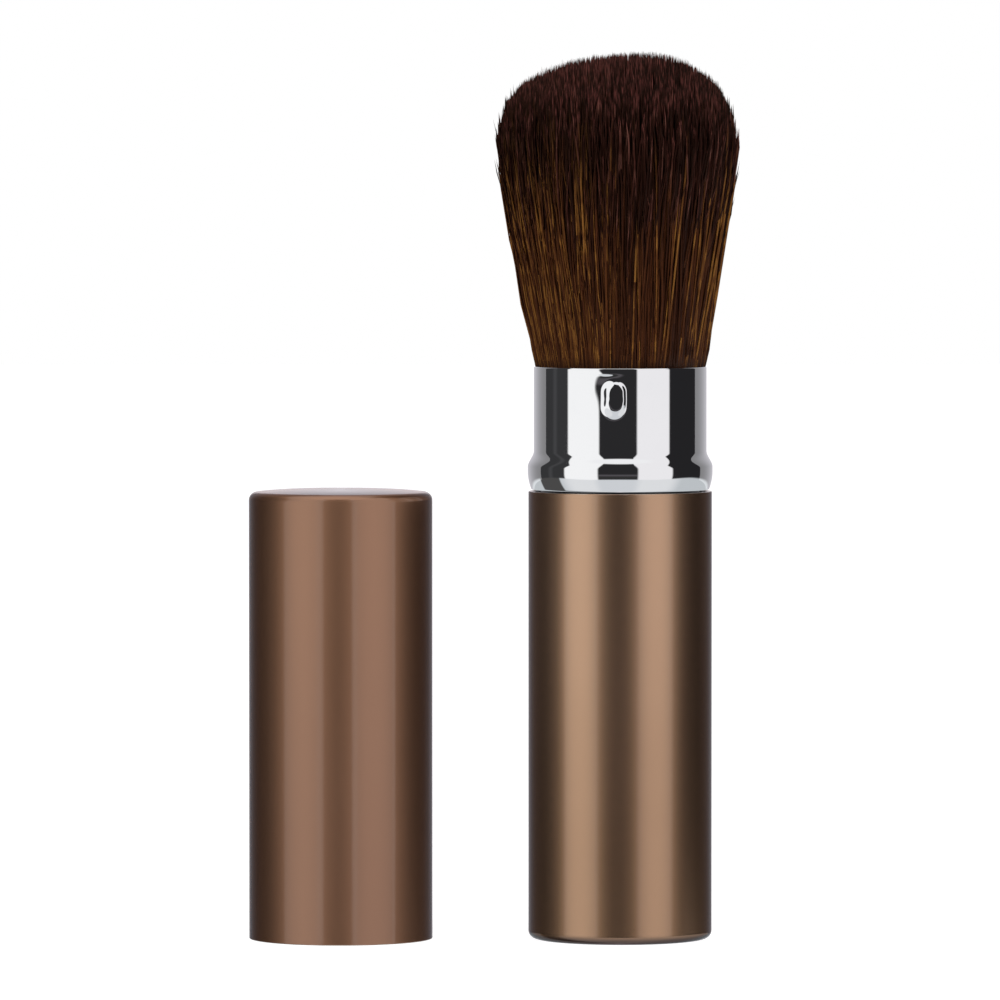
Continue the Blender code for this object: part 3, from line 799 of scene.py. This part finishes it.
def cut(target, tool, operation):
    """Joins a tool to a mesh or cuts it away, and gives the new mesh."""
    holder = bpy.data.objects.new("holder", target)
    knife = bpy.data.objects.new("knife", tool)
    for item in (holder, knife):
        bpy.context.collection.objects.link(item)
    modifier = holder.modifiers.new("cut", "BOOLEAN")
    modifier.operation = operation
    modifier.solver = "EXACT"
    modifier.object = knife
    shown = holder.evaluated_get(bpy.context.evaluated_depsgraph_get())
    made = bpy.data.meshes.new_from_object(shown)
    for item in (holder, knife):
        bpy.data.objects.remove(item)
    return smoothed(made)


def bars(outline, inner, outer, angles):
    """Prisms that run outward through a wall at each angle, with an outline of (side, height)."""
    mesh = bmesh.new()
    for angle in angles:
        turn = Matrix.Rotation(math.radians(angle), 4, "Z")
        near = [mesh.verts.new(turn @ Vector((inner, side, level))) for side, level in outline]
        far = [mesh.verts.new(turn @ Vector((outer, side, level))) for side, level in outline]
        mesh.faces.new(near)
        mesh.faces.new(reversed(far))
        for i in range(len(outline)):
            j = (i + 1) % len(outline)
            mesh.faces.new([near[j], near[i], far[i], far[j]])
    return built(mesh, "bars")


def box_outline(half, low, high):
    """The outline of a bar's end."""
    return [(-half, low), (half, low), (half, high), (-half, high)]


liner_outline = [
    (SCREW_HOLE, LINER_LOW),
    (LINER_RADIUS - EASED, LINER_LOW),
    (LINER_RADIUS, LINER_LOW + EASED),
    (LINER_RADIUS, HANDLE_RIM - EASED),
    (LINER_RADIUS - EASED, HANDLE_RIM),
    (LINER_BORE + EASED, HANDLE_RIM),
    (LINER_BORE, HANDLE_RIM - EASED),
    (LINER_BORE, LINER_FLOOR),
    (SCREW_HOLE, LINER_FLOOR),
]
liner_mesh = turned("handle_lining", liner_outline, ring=True)
rib_outline = box_outline(RIB_HALF, LINER_FLOOR - RIB_BELOW_FLOOR, HANDLE_RIM - RIB_BELOW_RIM)
ribs = bars(rib_outline, LINER_BORE - RIB_HEIGHT, LINER_BORE + RIB_BITE, (0, 180))
liner_mesh = cut(liner_mesh, ribs, "UNION")
liner = placed("handle_lining", liner_mesh, black_plastic, "handle")
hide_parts("handle_liner")

sleeve_outline = [
    (ROD_HOLE, SLEEVE_LOW),
    (SLEEVE_RADIUS - EASED, SLEEVE_LOW),
    (SLEEVE_RADIUS, SLEEVE_LOW + EASED),
    (SLEEVE_RADIUS, COLLAR_FOOT),
    (FLANGE_RADIUS, COLLAR_FOOT),
    (FLANGE_RADIUS, COLLAR_FOOT + FLANGE_HEIGHT),
    (HEAD_RADIUS, COLLAR_FOOT + FLANGE_HEIGHT),
    (HEAD_RADIUS, SLEEVE_HIGH - EASED),
    (HEAD_RADIUS - EASED, SLEEVE_HIGH),
    (HEAD_RADIUS - MOUTH_LIP, SLEEVE_HIGH),
    (SLEEVE_BORE, SLEEVE_HIGH - MOUTH_FLARE),
    (SLEEVE_BORE, SLEEVE_FLOOR),
    (ROD_HOLE, SLEEVE_FLOOR),
]
TONGUE_HALF = 1.5 * MM
TONGUE_SLIT = 0.6 * MM
TONGUE_LOW = 8.4 * MM
TONGUE_HIGH = 16.4 * MM
right_half = [
    (TONGUE_HALF + TONGUE_SLIT, TONGUE_LOW - TONGUE_SLIT),
    (TONGUE_HALF + TONGUE_SLIT, TONGUE_HIGH),
    (TONGUE_HALF, TONGUE_HIGH),
    (TONGUE_HALF, TONGUE_LOW),
]
slit_outline = right_half + [(-side, level) for side, level in reversed(right_half)]
sleeve_mesh = turned("sliding_sleeve", sleeve_outline, ring=True)
groove_outline = box_outline(
    RIB_HALF + EASED, SLEEVE_LOW - OVERRUN, COLLAR_FOOT - GROOVE_BELOW_COLLAR)
grooves = bars(groove_outline, LINER_BORE - GROOVE_DEPTH, LINER_BORE + OVERRUN, (0, 180))
sleeve_mesh = cut(sleeve_mesh, grooves, "DIFFERENCE")
slits = bars(slit_outline, SLEEVE_BORE - OVERRUN, SLEEVE_RADIUS + OVERRUN, (90, 270))
sleeve_mesh = cut(sleeve_mesh, slits, "DIFFERENCE")
sleeve = placed("sliding_sleeve", sleeve_mesh, black_plastic, "sleeve")
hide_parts("inner_sleeve")
for tube in (liner, sleeve):
    tube.visible_glossy = False

# %% [markdown]
# Chrome collar
#
# The collar is a thin drawn tube. Its foot is rolled into a bead that stops it on the handle, and
# three small oblong nubs are pressed out of it so that the cap grips. A mirror shows every facet, so
# this is a dense grid, with more columns around each nub, and each point of the neck moves outward
# by the height of the pressing there. The metal drawn in around a nub bends the reflections a little.

# %% Bead and mouth
BEAD_RADIUS = 11.08 * MM
FLARE_HIGH = 58.53 * MM
FLARE_LOW = 56.64 * MM
TUCK_HIGH = 56.05 * MM
TUCK_POWER = 1.9
LIP_RADIUS = 10.66 * MM
LIP_DROP = 0.07 * MM
COLLAR_TOP = MOUTH + 0.15 * MM
COLLAR_WALL = COLLAR_RADIUS - COLLAR_BORE
MOUTH_ROUNDING = 0.18 * MM
MOUTH_STEPS = 6
BEAD_STEPS = 16


def bead_outline(inset):
    """(radius, height) from the lip up over the bead to the neck, moved inward."""
    swell = BEAD_RADIUS - COLLAR_RADIUS
    tuck = BEAD_RADIUS - LIP_RADIUS
    foot = COLLAR_FOOT - LIP_DROP
    shares = [i / BEAD_STEPS for i in range(BEAD_STEPS + 1)]
    flare = [(COLLAR_RADIUS + swell * s * s * (3 - 2 * s), FLARE_HIGH + (FLARE_LOW - FLARE_HIGH) * s)
             for s in shares]
    rolled = [(BEAD_RADIUS - tuck * s ** TUCK_POWER, TUCK_HIGH + (foot - TUCK_HIGH) * s)
              for s in shares]
    return [(radius - inset, height) for radius, height in reversed(flare + rolled)]


# %% Nubs and the collar's grid
NUBS = 3
NUB_TURN = -95.1
NUB_HALF_WIDTH = 1.6 * MM
NUB_HALF_LENGTH = 2.55 * MM
TOP_HALF_WIDTH = 0.66 * MM
TOP_HALF_LENGTH = 1.32 * MM
TOP_PLACE = (0.36 * MM, 0.12 * MM)
NUB_RELIEF = 0.34 * MM
NUB_UNEVEN = 0.05 * MM
NUB_LEVEL = MOUTH - 3.6 * MM
DENT_DEPTH = 0.10 * MM
DENT_SPREAD = 1.5 * MM
DENT_PLACE = (-1.5 * MM, 1.5 * MM)
MARK_HEIGHT = 0.06 * MM
MARK_PLACE = (-0.8 * MM, 3.15 * MM)
MARK_SPREAD = (1.2 * MM, 0.28 * MM)
FINE_COLUMN = 0.3
COARSE_COLUMN = 1.5
FINE_ROW = 0.1 * MM
COLUMN_REACH = 13.0
NECK_FADE = 1.0 * MM
MOUTH_FADE = 0.6 * MM
LEAST_SLOPE = 0.05 * MM


def collar_columns():
    """Angles of the grid's columns in degrees, close together at each nub."""
    nubs = [NUB_TURN + 360 * i / NUBS for i in range(NUBS)]
    angles = []
    for nub in nubs:
        fine = int(round(2 * COLUMN_REACH / FINE_COLUMN))
        angles += [nub - COLUMN_REACH + i * FINE_COLUMN for i in range(fine + 1)]
        gap = 360 / NUBS - 2 * COLUMN_REACH
        coarse = int(round(gap / COARSE_COLUMN))
        angles += [nub + COLUMN_REACH + gap * i / coarse for i in range(1, coarse)]
    return np.radians(angles), np.radians(nubs)


def inside(side, level, half_width, half_length):
    """How far inside an upright oblong a place is. Outside it, this is below zero."""
    beyond = np.maximum(np.abs(level) - (half_length - half_width), 0)
    return half_width - np.hypot(side, beyond)


def nub_height(side, level):
    """How far the pressing lifts the wall, beside and above the nub's centre."""
    round_it = np.arctan2(level, side)
    uneven = NUB_UNEVEN * (np.sin(2 * round_it + 0.6) + 0.7 * np.sin(5 * round_it + 2.0))
    outer = inside(side, level, NUB_HALF_WIDTH, NUB_HALF_LENGTH)
    top = inside(side - TOP_PLACE[0], level - TOP_PLACE[1], TOP_HALF_WIDTH, TOP_HALF_LENGTH)
    top = top + uneven
    rise = np.clip(outer / np.maximum(outer - top, LEAST_SLOPE), 0, 1)
    steep = rise ** 3 * (rise * (rise * 6 - 15) + 10)
    lifted = NUB_RELIEF * steep
    dent_reach = (side - DENT_PLACE[0]) ** 2 + ((level - DENT_PLACE[1]) * 0.8) ** 2
    dent = DENT_DEPTH * np.exp(-dent_reach / DENT_SPREAD ** 2)
    mark_side = (side - MARK_PLACE[0]) / MARK_SPREAD[0]
    mark_rise = (level - MARK_PLACE[1]) / MARK_SPREAD[1]
    return lifted - dent * (1 - steep) + MARK_HEIGHT * np.exp(-(mark_side ** 2 + mark_rise ** 2))


def collar_mesh():
    """The collar as a grid of columns around and rows along its outline."""
    neck_low = FLARE_HIGH
    neck_high = COLLAR_TOP - MOUTH_ROUNDING
    rows = int((neck_high - neck_low) / FINE_ROW)
    neck = [(COLLAR_RADIUS, neck_low + (neck_high - neck_low) * i / rows) for i in range(1, rows)]
    outline = [
        *bead_outline(0),
        *neck,
        *arc((COLLAR_RADIUS - MOUTH_ROUNDING, neck_high), MOUTH_ROUNDING, 0, 90, MOUTH_STEPS),
        *arc((COLLAR_BORE + MOUTH_ROUNDING, neck_high), MOUTH_ROUNDING, 90, 180, MOUTH_STEPS),
        *reversed(bead_outline(COLLAR_WALL)),
    ]
    angles, nubs = collar_columns()
    radii, levels = (np.array(values)[:, None] for values in zip(*outline))
    radii = np.repeat(radii, len(angles), axis=1)
    outside = (np.arange(len(outline)) < len(bead_outline(0)) + len(neck))[:, None]
    for nub in nubs:
        side = (np.mod(angles - nub + math.pi, math.tau) - math.pi)[None, :] * COLLAR_RADIUS
        fade = np.clip((levels - neck_low) / NECK_FADE, 0, 1)
        fade = fade * np.clip((MOUTH - levels) / MOUTH_FADE, 0, 1)
        radii = radii + np.where(outside, nub_height(side, levels - NUB_LEVEL) * fade, 0)
    points = np.stack([radii * np.cos(angles), radii * np.sin(angles),
                       np.repeat(levels, len(angles), axis=1)], axis=-1)
    height, width = radii.shape
    number = np.arange(height * width).reshape(height, width)
    right = np.roll(number, -1, axis=1)
    above = np.roll(number, -1, axis=0)
    above_right = np.roll(right, -1, axis=0)
    faces = np.stack([number, right, above_right, above], axis=-1).reshape(-1, 4)
    made = bpy.data.meshes.new("chrome_collar")
    made.from_pydata(points.reshape(-1, 3).tolist(), [], faces.tolist())
    made.shade_smooth()
    return made


collar = placed("chrome_collar", collar_mesh(), chrome, "sleeve")
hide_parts("collar")

# %% [markdown]
# Hair
#
# The tuft is several thousand fine fibres, set in resin, fanned out and trimmed to a dome. The frame
# draws a few hundred thick ones, which would look like a paint brush. Blender's hair curves would
# make fine ones quickly, but they aren't meshes and the exported model would lose them. So each
# fibre is a thin three-sided tube with a pointed tip, and all are calculated at once as arrays.
#
# A fibre has a share: 0 is on the axis and 1 is on the outside. The outline says how wide the whole
# tuft is at each height, and a fibre follows it at its own share. More of them lie near the
# outside, which the eye sees. A place across the tuft is a complex number, X + Yj.

# %% The tuft's outline
OUTLINE_HEIGHTS = np.array([60.5, 68.3, 68.6, 71.6, 76.4, 81.2, 86.0, 90.9, 95.7, 106.0]) * MM
OUTLINE_RADII = np.array([7.1, 9.72, 10.1, 10.62, 11.45, 12.15, 12.98, 13.7, 14.0, 14.0]) * MM
LEAN_X = -0.42 * MM
LEAN_LOW = 70 * MM
LEAN_LENGTH = 12 * MM
DOME_RADIUS = 14.5 * MM
DOME_HEIGHT = 10.5 * MM
DOME_POWER = 2.32
DOME_SHIFT = 3.7 * MM
DOME_RISE = 0.59 * MM


def tuft_radius(height):
    """The tuft's outer radius at a height."""
    return np.interp(height, OUTLINE_HEIGHTS, OUTLINE_RADII)


def dome_height(place):
    """Where the trimmed dome is above a place. Its top lies a little towards +X."""
    inward = np.clip(1 - np.abs(place) / DOME_RADIUS, 0, 1)
    reach = np.minimum(np.abs(place - DOME_SHIFT * inward ** 1.5) / DOME_RADIUS, 1)
    return HAIR_TOP + DOME_RISE - DOME_HEIGHT * (1 - (1 - reach ** DOME_POWER) ** (1 / DOME_POWER))


# %% [markdown]
# Locks
#
# Fibres draw together in small locks towards their tips, which gives the trimmed edge its ragged
# points. Each fibre looks for the nearest of some thousand lock centres and leans towards it. Some
# of the short ones at the side stand away from the tuft, and a few golden ones cross the others.

# %% Where each fibre starts and ends
FIBRES = 20000
OUTER_SHARE = 0.6
OUTER_DEPTH = 0.2
LOCKS = 1300
LOCK_PULL = (0.1, 0.7)
DRIFT_SHARE = 0.06
DRIFT_ANGLE = 0.105
LOCK_DRIFT = 0.03
GOLDEN_ANGLE = math.pi * (3 - math.sqrt(5))

draw = np.random.default_rng(7)
is_outer = draw.random(FIBRES) < OUTER_SHARE
share = np.where(
    is_outer, 1 - OUTER_DEPTH * draw.random(FIBRES) ** 1.3, np.sqrt(draw.random(FIBRES)))
angle = draw.random(FIBRES) * math.tau
tip_share = np.clip(share + draw.normal(0, DRIFT_SHARE, FIBRES), 0, 1)
tip_angle = angle + draw.normal(0, DRIFT_ANGLE, FIBRES)

lock_share = np.sqrt((np.arange(LOCKS) + 0.5) / LOCKS)
lock_angle = np.arange(LOCKS) * GOLDEN_ANGLE + draw.normal(0, LOCK_DRIFT, LOCKS)
lock_centre = lock_share * np.exp(1j * lock_angle)
foot = share * np.exp(1j * angle)
loose_tip = tip_share * np.exp(1j * tip_angle)
lock = np.argmin(np.abs(loose_tip[:, None] - lock_centre), axis=1)
pull = LOCK_PULL[0] + (LOCK_PULL[1] - LOCK_PULL[0]) * draw.random(FIBRES)
tip = loose_tip + (lock_centre[lock] - loose_tip) * pull

# %% How high each fibre reaches
LOCK_DROP = 0.20 * MM
FIBRE_DROP = 0.36 * MM
SHORT_SHARE = 0.14
SHORT_DROP = 4.5 * MM
SIDE_EDGE = 0.93
SIDE_SHORT_SHARE = 0.38
SIDE_SHORT_DROP = 9 * MM

drop = np.abs(draw.normal(0, FIBRE_DROP, FIBRES)) + np.abs(draw.normal(0, LOCK_DROP, LOCKS))[lock]
is_short = draw.random(FIBRES) < SHORT_SHARE
drop = drop + np.where(is_short, draw.random(FIBRES) * SHORT_DROP, 0)
is_side = (tip_share > SIDE_EDGE) & (draw.random(FIBRES) < SIDE_SHORT_SHARE)
drop = drop + np.where(is_side, draw.random(FIBRES) ** 1.5 * SIDE_SHORT_DROP, 0)
tip_height = dome_height(tip * DOME_RADIUS) - drop

# %% Paths of the fibres
LOW_RINGS = np.array([60.5, 68.3, 68.6, 70.6]) * MM
MIDDLE_SHARES = np.array([0.25, 0.5, 0.75])
POINT_LENGTH = 1.7 * MM
THICKNESS_SHARES = np.array([1, 1, 1, 1, 1, 1, 1, 0.85, 0])
WAVE = 0.33 * MM
WAVE_TURN = 6.0
HALF_THICKNESS = 0.145 * MM
THICKNESS_SPREAD = (0.65, 0.5)

rings = len(THICKNESS_SHARES)
levels = np.empty((FIBRES, rings))
levels[:, :4] = LOW_RINGS
levels[:, 4:7] = LOW_RINGS[-1] + (tip_height[:, None] - LOW_RINGS[-1]) * MIDDLE_SHARES
levels[:, 7] = tip_height - POINT_LENGTH
levels[:, 8] = tip_height
free = np.clip((levels - LOW_RINGS[2]) / (tip_height[:, None] - LOW_RINGS[2]), 0, 1)
wide = tuft_radius(levels)
path = (foot[:, None] * (1 - free) + tip[:, None] * free) * wide
path = path + LEAN_X * np.clip((levels - LEAN_LOW) / LEAN_LENGTH, 0, 1)

phase = draw.random((FIBRES, 2)) * math.tau
size = np.abs(draw.normal(0, WAVE, (FIBRES, 2)))
sway = size[:, None] * np.sin(phase[:, None] + free[:, :, None] * WAVE_TURN)
path = path + (sway[:, :, 0] + 1j * sway[:, :, 1]) * np.sqrt(free)
half_thickness = HALF_THICKNESS * (THICKNESS_SPREAD[0] + THICKNESS_SPREAD[1] * draw.random(FIBRES))

# %% Stray and crossing fibres
STRAYS = 700
STRAY_REACH = 1.25 * MM
STRAY_THINNING = 0.6
STRAY_FROM = 0.65
OUTERMOST = 0.95
CROSSING = 90
CROSSING_ANGLE = 0.15
CROSSING_LIFT = 0.05 * MM

outermost = np.flatnonzero(share > OUTERMOST)
stray = draw.choice(np.flatnonzero((share > OUTERMOST) & is_side), STRAYS, replace=False)
away = draw.random(STRAYS) ** 2 * STRAY_REACH
half_thickness[stray] *= STRAY_THINNING
outward = np.clip((free[stray] - STRAY_FROM) / (1 - STRAY_FROM), 0, 1) ** 1.5 * away[:, None]
path[stray] += outward * np.exp(1j * angle[stray])[:, None]

crossing = draw.choice(np.setdiff1d(outermost, stray), CROSSING, replace=False)
turn = draw.normal(0, CROSSING_ANGLE, CROSSING)[:, None] * free[crossing]
cross_angle = angle[crossing][:, None] + turn
short_of_edge = 1 - np.abs(tip[crossing])[:, None]
cross_reach = wide[crossing] * (1 - short_of_edge * free[crossing] ** 2)
cross_reach = cross_reach + CROSSING_LIFT * free[crossing]
path[crossing] = cross_reach * np.exp(1j * cross_angle)
print("fibres: %d, of which %d stray and %d cross the others" % (FIBRES, STRAYS, CROSSING))

# %% [markdown]
# Tones
#
# Most fibres are nearly black, some are chestnut, and a few are golden. The golden ones show in the
# lower part, partly by their own colour and partly as painted light that comes through from behind,
# and all of them turn a dark red brown towards their tips, some with a painted reddish glow for light
# that shines through them. The left side is painted a little paler and the right a little darker, as
# painted light and shade, the inner fibres darker as painted shade inside the tuft, and the roots
# darker as painted shade at the collar's mouth. Each fibre gets a tone, and each ring its share of
# the length, as attributes that the finish reads. A fibre glints only in places, so a noise that runs
# along it shifts its tone up and down, as a painted glint.

# %% Tone and length of each fibre
LOCK_TONE = 0.5
TONE_REPEATS = 53.0
PAINTED_GLINT_SPREAD = 9000.0
PAINTED_GLINT_LENGTH = 2.5 * MM
PAINTED_GLINT_DEPTH = 0.47
TIP_GLOW_SHARE = 0.55
PAINTED_ROOT_SHADE_SHARE = 0.6
PAINTED_LIGHT_ON_LEFT = 0.28
INNER_SHARE = 0.75
INNER_PAINTED_SHADE = 0.6
GOLDEN_TONES = (0.93, 0.07)
PAINTED_TIP_GLOW = colour(0.260, 0.075, 0.066)
PAINTED_ROOT_SHADE = colour(0.010, 0.0035, 0.0022)

mixed = LOCK_TONE * draw.random(LOCKS)[lock] + (1 - LOCK_TONE) * draw.random(FIBRES)
tone = np.argsort(np.argsort(mixed)) / FIBRES
# Painted shade: the inner fibres get darker tones, for the shade inside the tuft.
tone = np.where(share < INNER_SHARE, tone * INNER_PAINTED_SHADE, tone)
# Painted light and shade: fibres on the left get paler tones, those on the right darker ones.
tone = np.clip(tone - PAINTED_LIGHT_ON_LEFT * np.cos(angle), 0, 1)
tone[crossing] = GOLDEN_TONES[0] + GOLDEN_TONES[1] * draw.random(CROSSING)
length_share = np.clip((levels - MOUTH) / (tip_height[:, None] - MOUTH), 0, 1)

strand = new_sheet("brown_hair")
fibre_tone = strand.node("Attribute", {"attribute_name": "tone"}, output="Fac")
fibre_length = strand.node("Attribute", {"attribute_name": "length_share"}, output="Fac")
level = strand.split(strand.place())[2]
# Painted glints: a noise along each fibre shifts its tone up and down, as a painted highlight.
painted_glint_place = strand.node("CombineXYZ", {}, {
    0: fibre_tone * PAINTED_GLINT_SPREAD, 1: level * (1 / PAINTED_GLINT_LENGTH)})
painted_glint = strand.noise(painted_glint_place, 1.0, 1.0)
shade = fibre_tone + (painted_glint - 0.5) * PAINTED_GLINT_DEPTH
# The body ramp's paler, golden tones low on the fibres are partly their own colour and partly painted
# light that comes through from behind; the tip ramp is darker.
body_colour = strand.node("ValToRGB", {"stops": [
    (0.0, colour(0.024, 0.0066, 0.0034)),
    (0.30, colour(0.035, 0.0102, 0.0041)),
    (0.55, colour(0.049, 0.0142, 0.0052)),
    (0.75, colour(0.066, 0.0200, 0.0073)),
    (0.90, colour(0.102, 0.0350, 0.0102)),
    (0.97, colour(0.155, 0.0600, 0.0150)),
    (1.0, colour(0.24, 0.102, 0.023)),
]}, {"Fac": shade})
tip_tone = fibre_tone.maths("FRACT", fibre_tone * TONE_REPEATS)
tip_shade = tip_tone + (painted_glint - 0.5) * PAINTED_GLINT_DEPTH
tip_colour = strand.node("ValToRGB", {"stops": [
    (0.0, colour(0.0080, 0.0021, 0.0016)),
    (0.45, colour(0.0130, 0.0035, 0.0026)),
    (0.75, colour(0.0205, 0.0056, 0.0042)),
    (0.92, colour(0.0460, 0.0142, 0.0105)),
    (1.0, colour(0.1200, 0.0470, 0.0350)),
]}, {"Fac": tip_shade})
towards_tip = strand.step(fibre_length - (fibre_tone - 0.5) * 0.3, 0.42, 0.88)
# Painted light: a reddish glow at some tips, for light that shines through them.
at_tip = strand.step(fibre_length, 0.96, 0.99) * TIP_GLOW_SHARE
painted_tip_glow_share = at_tip * strand.step(tip_tone, 0.4, 0.95)
# Painted shade: the fibres darken at their roots, where they leave the collar's mouth.
in_painted_root_shade = 1 - strand.step(fibre_length, 0.0, 0.05)
shaft = strand.mix(towards_tip, body_colour, tip_colour)
shaft = strand.mix(painted_tip_glow_share, shaft, PAINTED_TIP_GLOW)
brown_hair = strand.surface({
    "Base Color": strand.mix(in_painted_root_shade * PAINTED_ROOT_SHADE_SHARE, shaft, PAINTED_ROOT_SHADE),
    "Roughness": 0.40 + fibre_length * 0.12,
    "Specular IOR Level": 0.2,
    "Specular Tint": colour(1.0, 0.62, 0.38),
})

# %% [markdown]
# Slices as meshes
#
# When the collar is pushed up, the whole tuft is gathered inside it. One squeeze along one direction
# would flatten it, so it is split like a cake into twelve slices, each of which could be squeezed
# towards the axis along its own direction. Each fibre has its own cell in the slice's UV map, so that
# the export can bake its colours without overlaps.

# %% Slices of the tuft
SLICES = 12
SIDES = 3
CELL_FILL = 0.9

corner_angles = np.arange(SIDES) * math.tau / SIDES
corner_offsets = np.stack([np.cos(corner_angles), np.sin(corner_angles), np.zeros(SIDES)], axis=-1)


def fibre_pattern():
    """Faces of one fibre, as its points' numbers, and the UV of their corners in its cell."""
    faces, places = [[2, 1, 0]], [[(0.0, 0.93), (0.2, 0.93), (0.1, 0.97)]]
    for ring in range(rings - 1):
        low, high = ring / (rings - 1) * CELL_FILL, (ring + 1) / (rings - 1) * CELL_FILL
        for side in range(SIDES):
            after = (side + 1) % SIDES
            left, right = side / SIDES * CELL_FILL, (side + 1) / SIDES * CELL_FILL
            base, over = ring * SIDES, (ring + 1) * SIDES
            if ring < rings - 2:
                faces.append([base + side, base + after, over + after, over + side])
                places.append([(left, low), (right, low), (right, high), (left, high)])
            else:
                faces.append([base + side, base + after, over])
                places.append([(left, low), (right, low), ((left + right) / 2, high)])
    return faces, places


pattern_faces, pattern_places = fibre_pattern()
points_per_fibre = (rings - 1) * SIDES + 1


def slice_mesh(name, chosen):
    """The fibres of one slice as one mesh, with their tones and their UV cells."""
    centres = np.stack([path[chosen].real, path[chosen].imag, levels[chosen]], axis=-1)
    halves = half_thickness[chosen][:, None] * THICKNESS_SHARES[None, :-1]
    tubes = centres[:, :-1, None, :] + halves[:, :, None, None] * corner_offsets[None, None]
    points = np.concatenate([tubes.reshape(len(chosen), -1, 3), centres[:, -1:, :]], axis=1)
    starts = np.arange(len(chosen)) * points_per_fibre
    faces = [[first + corner for corner in face]
             for first in starts.tolist() for face in pattern_faces]
    made = bpy.data.meshes.new(name)
    made.from_pydata(points.reshape(-1, 3).tolist(), [], faces)
    made.shade_smooth()

    along = np.repeat(length_share[chosen][:, :-1], SIDES, axis=1)
    along = np.concatenate([along, length_share[chosen][:, -1:]], axis=1)
    tones = np.repeat(tone[chosen], points_per_fibre)
    for label, values in (("tone", tones), ("length_share", along.reshape(-1))):
        attribute = made.attributes.new(label, "FLOAT", "POINT")
        attribute.data.foreach_set("value", values.astype(np.float32))

    cells = math.ceil(math.sqrt(len(chosen)))
    flat = np.array([place for face in pattern_places for place in face])
    columns = np.arange(len(chosen)) % cells
    rows = np.arange(len(chosen)) // cells
    corners = (flat[None] + np.stack([columns, rows], axis=-1)[:, None, :]) / cells
    layer = made.uv_layers.new(name="OFBake")
    layer.uv.foreach_set("vector", corners.reshape(-1).astype(np.float32))
    return made


slice_of = (np.mod(angle, math.tau) / math.tau * SLICES).astype(int)
for index in range(SLICES):
    chosen = np.flatnonzero(slice_of == index)
    name = "hair_slice_%02d" % (index + 1)
    hair_slice = placed(name, slice_mesh(name, chosen), brown_hair, "handle")
    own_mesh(hair_slice)
    if index == 0:
        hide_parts("hair_tuft")

# %% Compare sizes and finish
visual_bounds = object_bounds()
sizes = {
    "cad": [list(corner) for corner in cad_bounds],
    "visual": [list(corner) for corner in visual_bounds],
}
for label, box in sizes.items():
    print(label, "box in mm:", [[round(value / MM, 1) for value in corner] for corner in box])
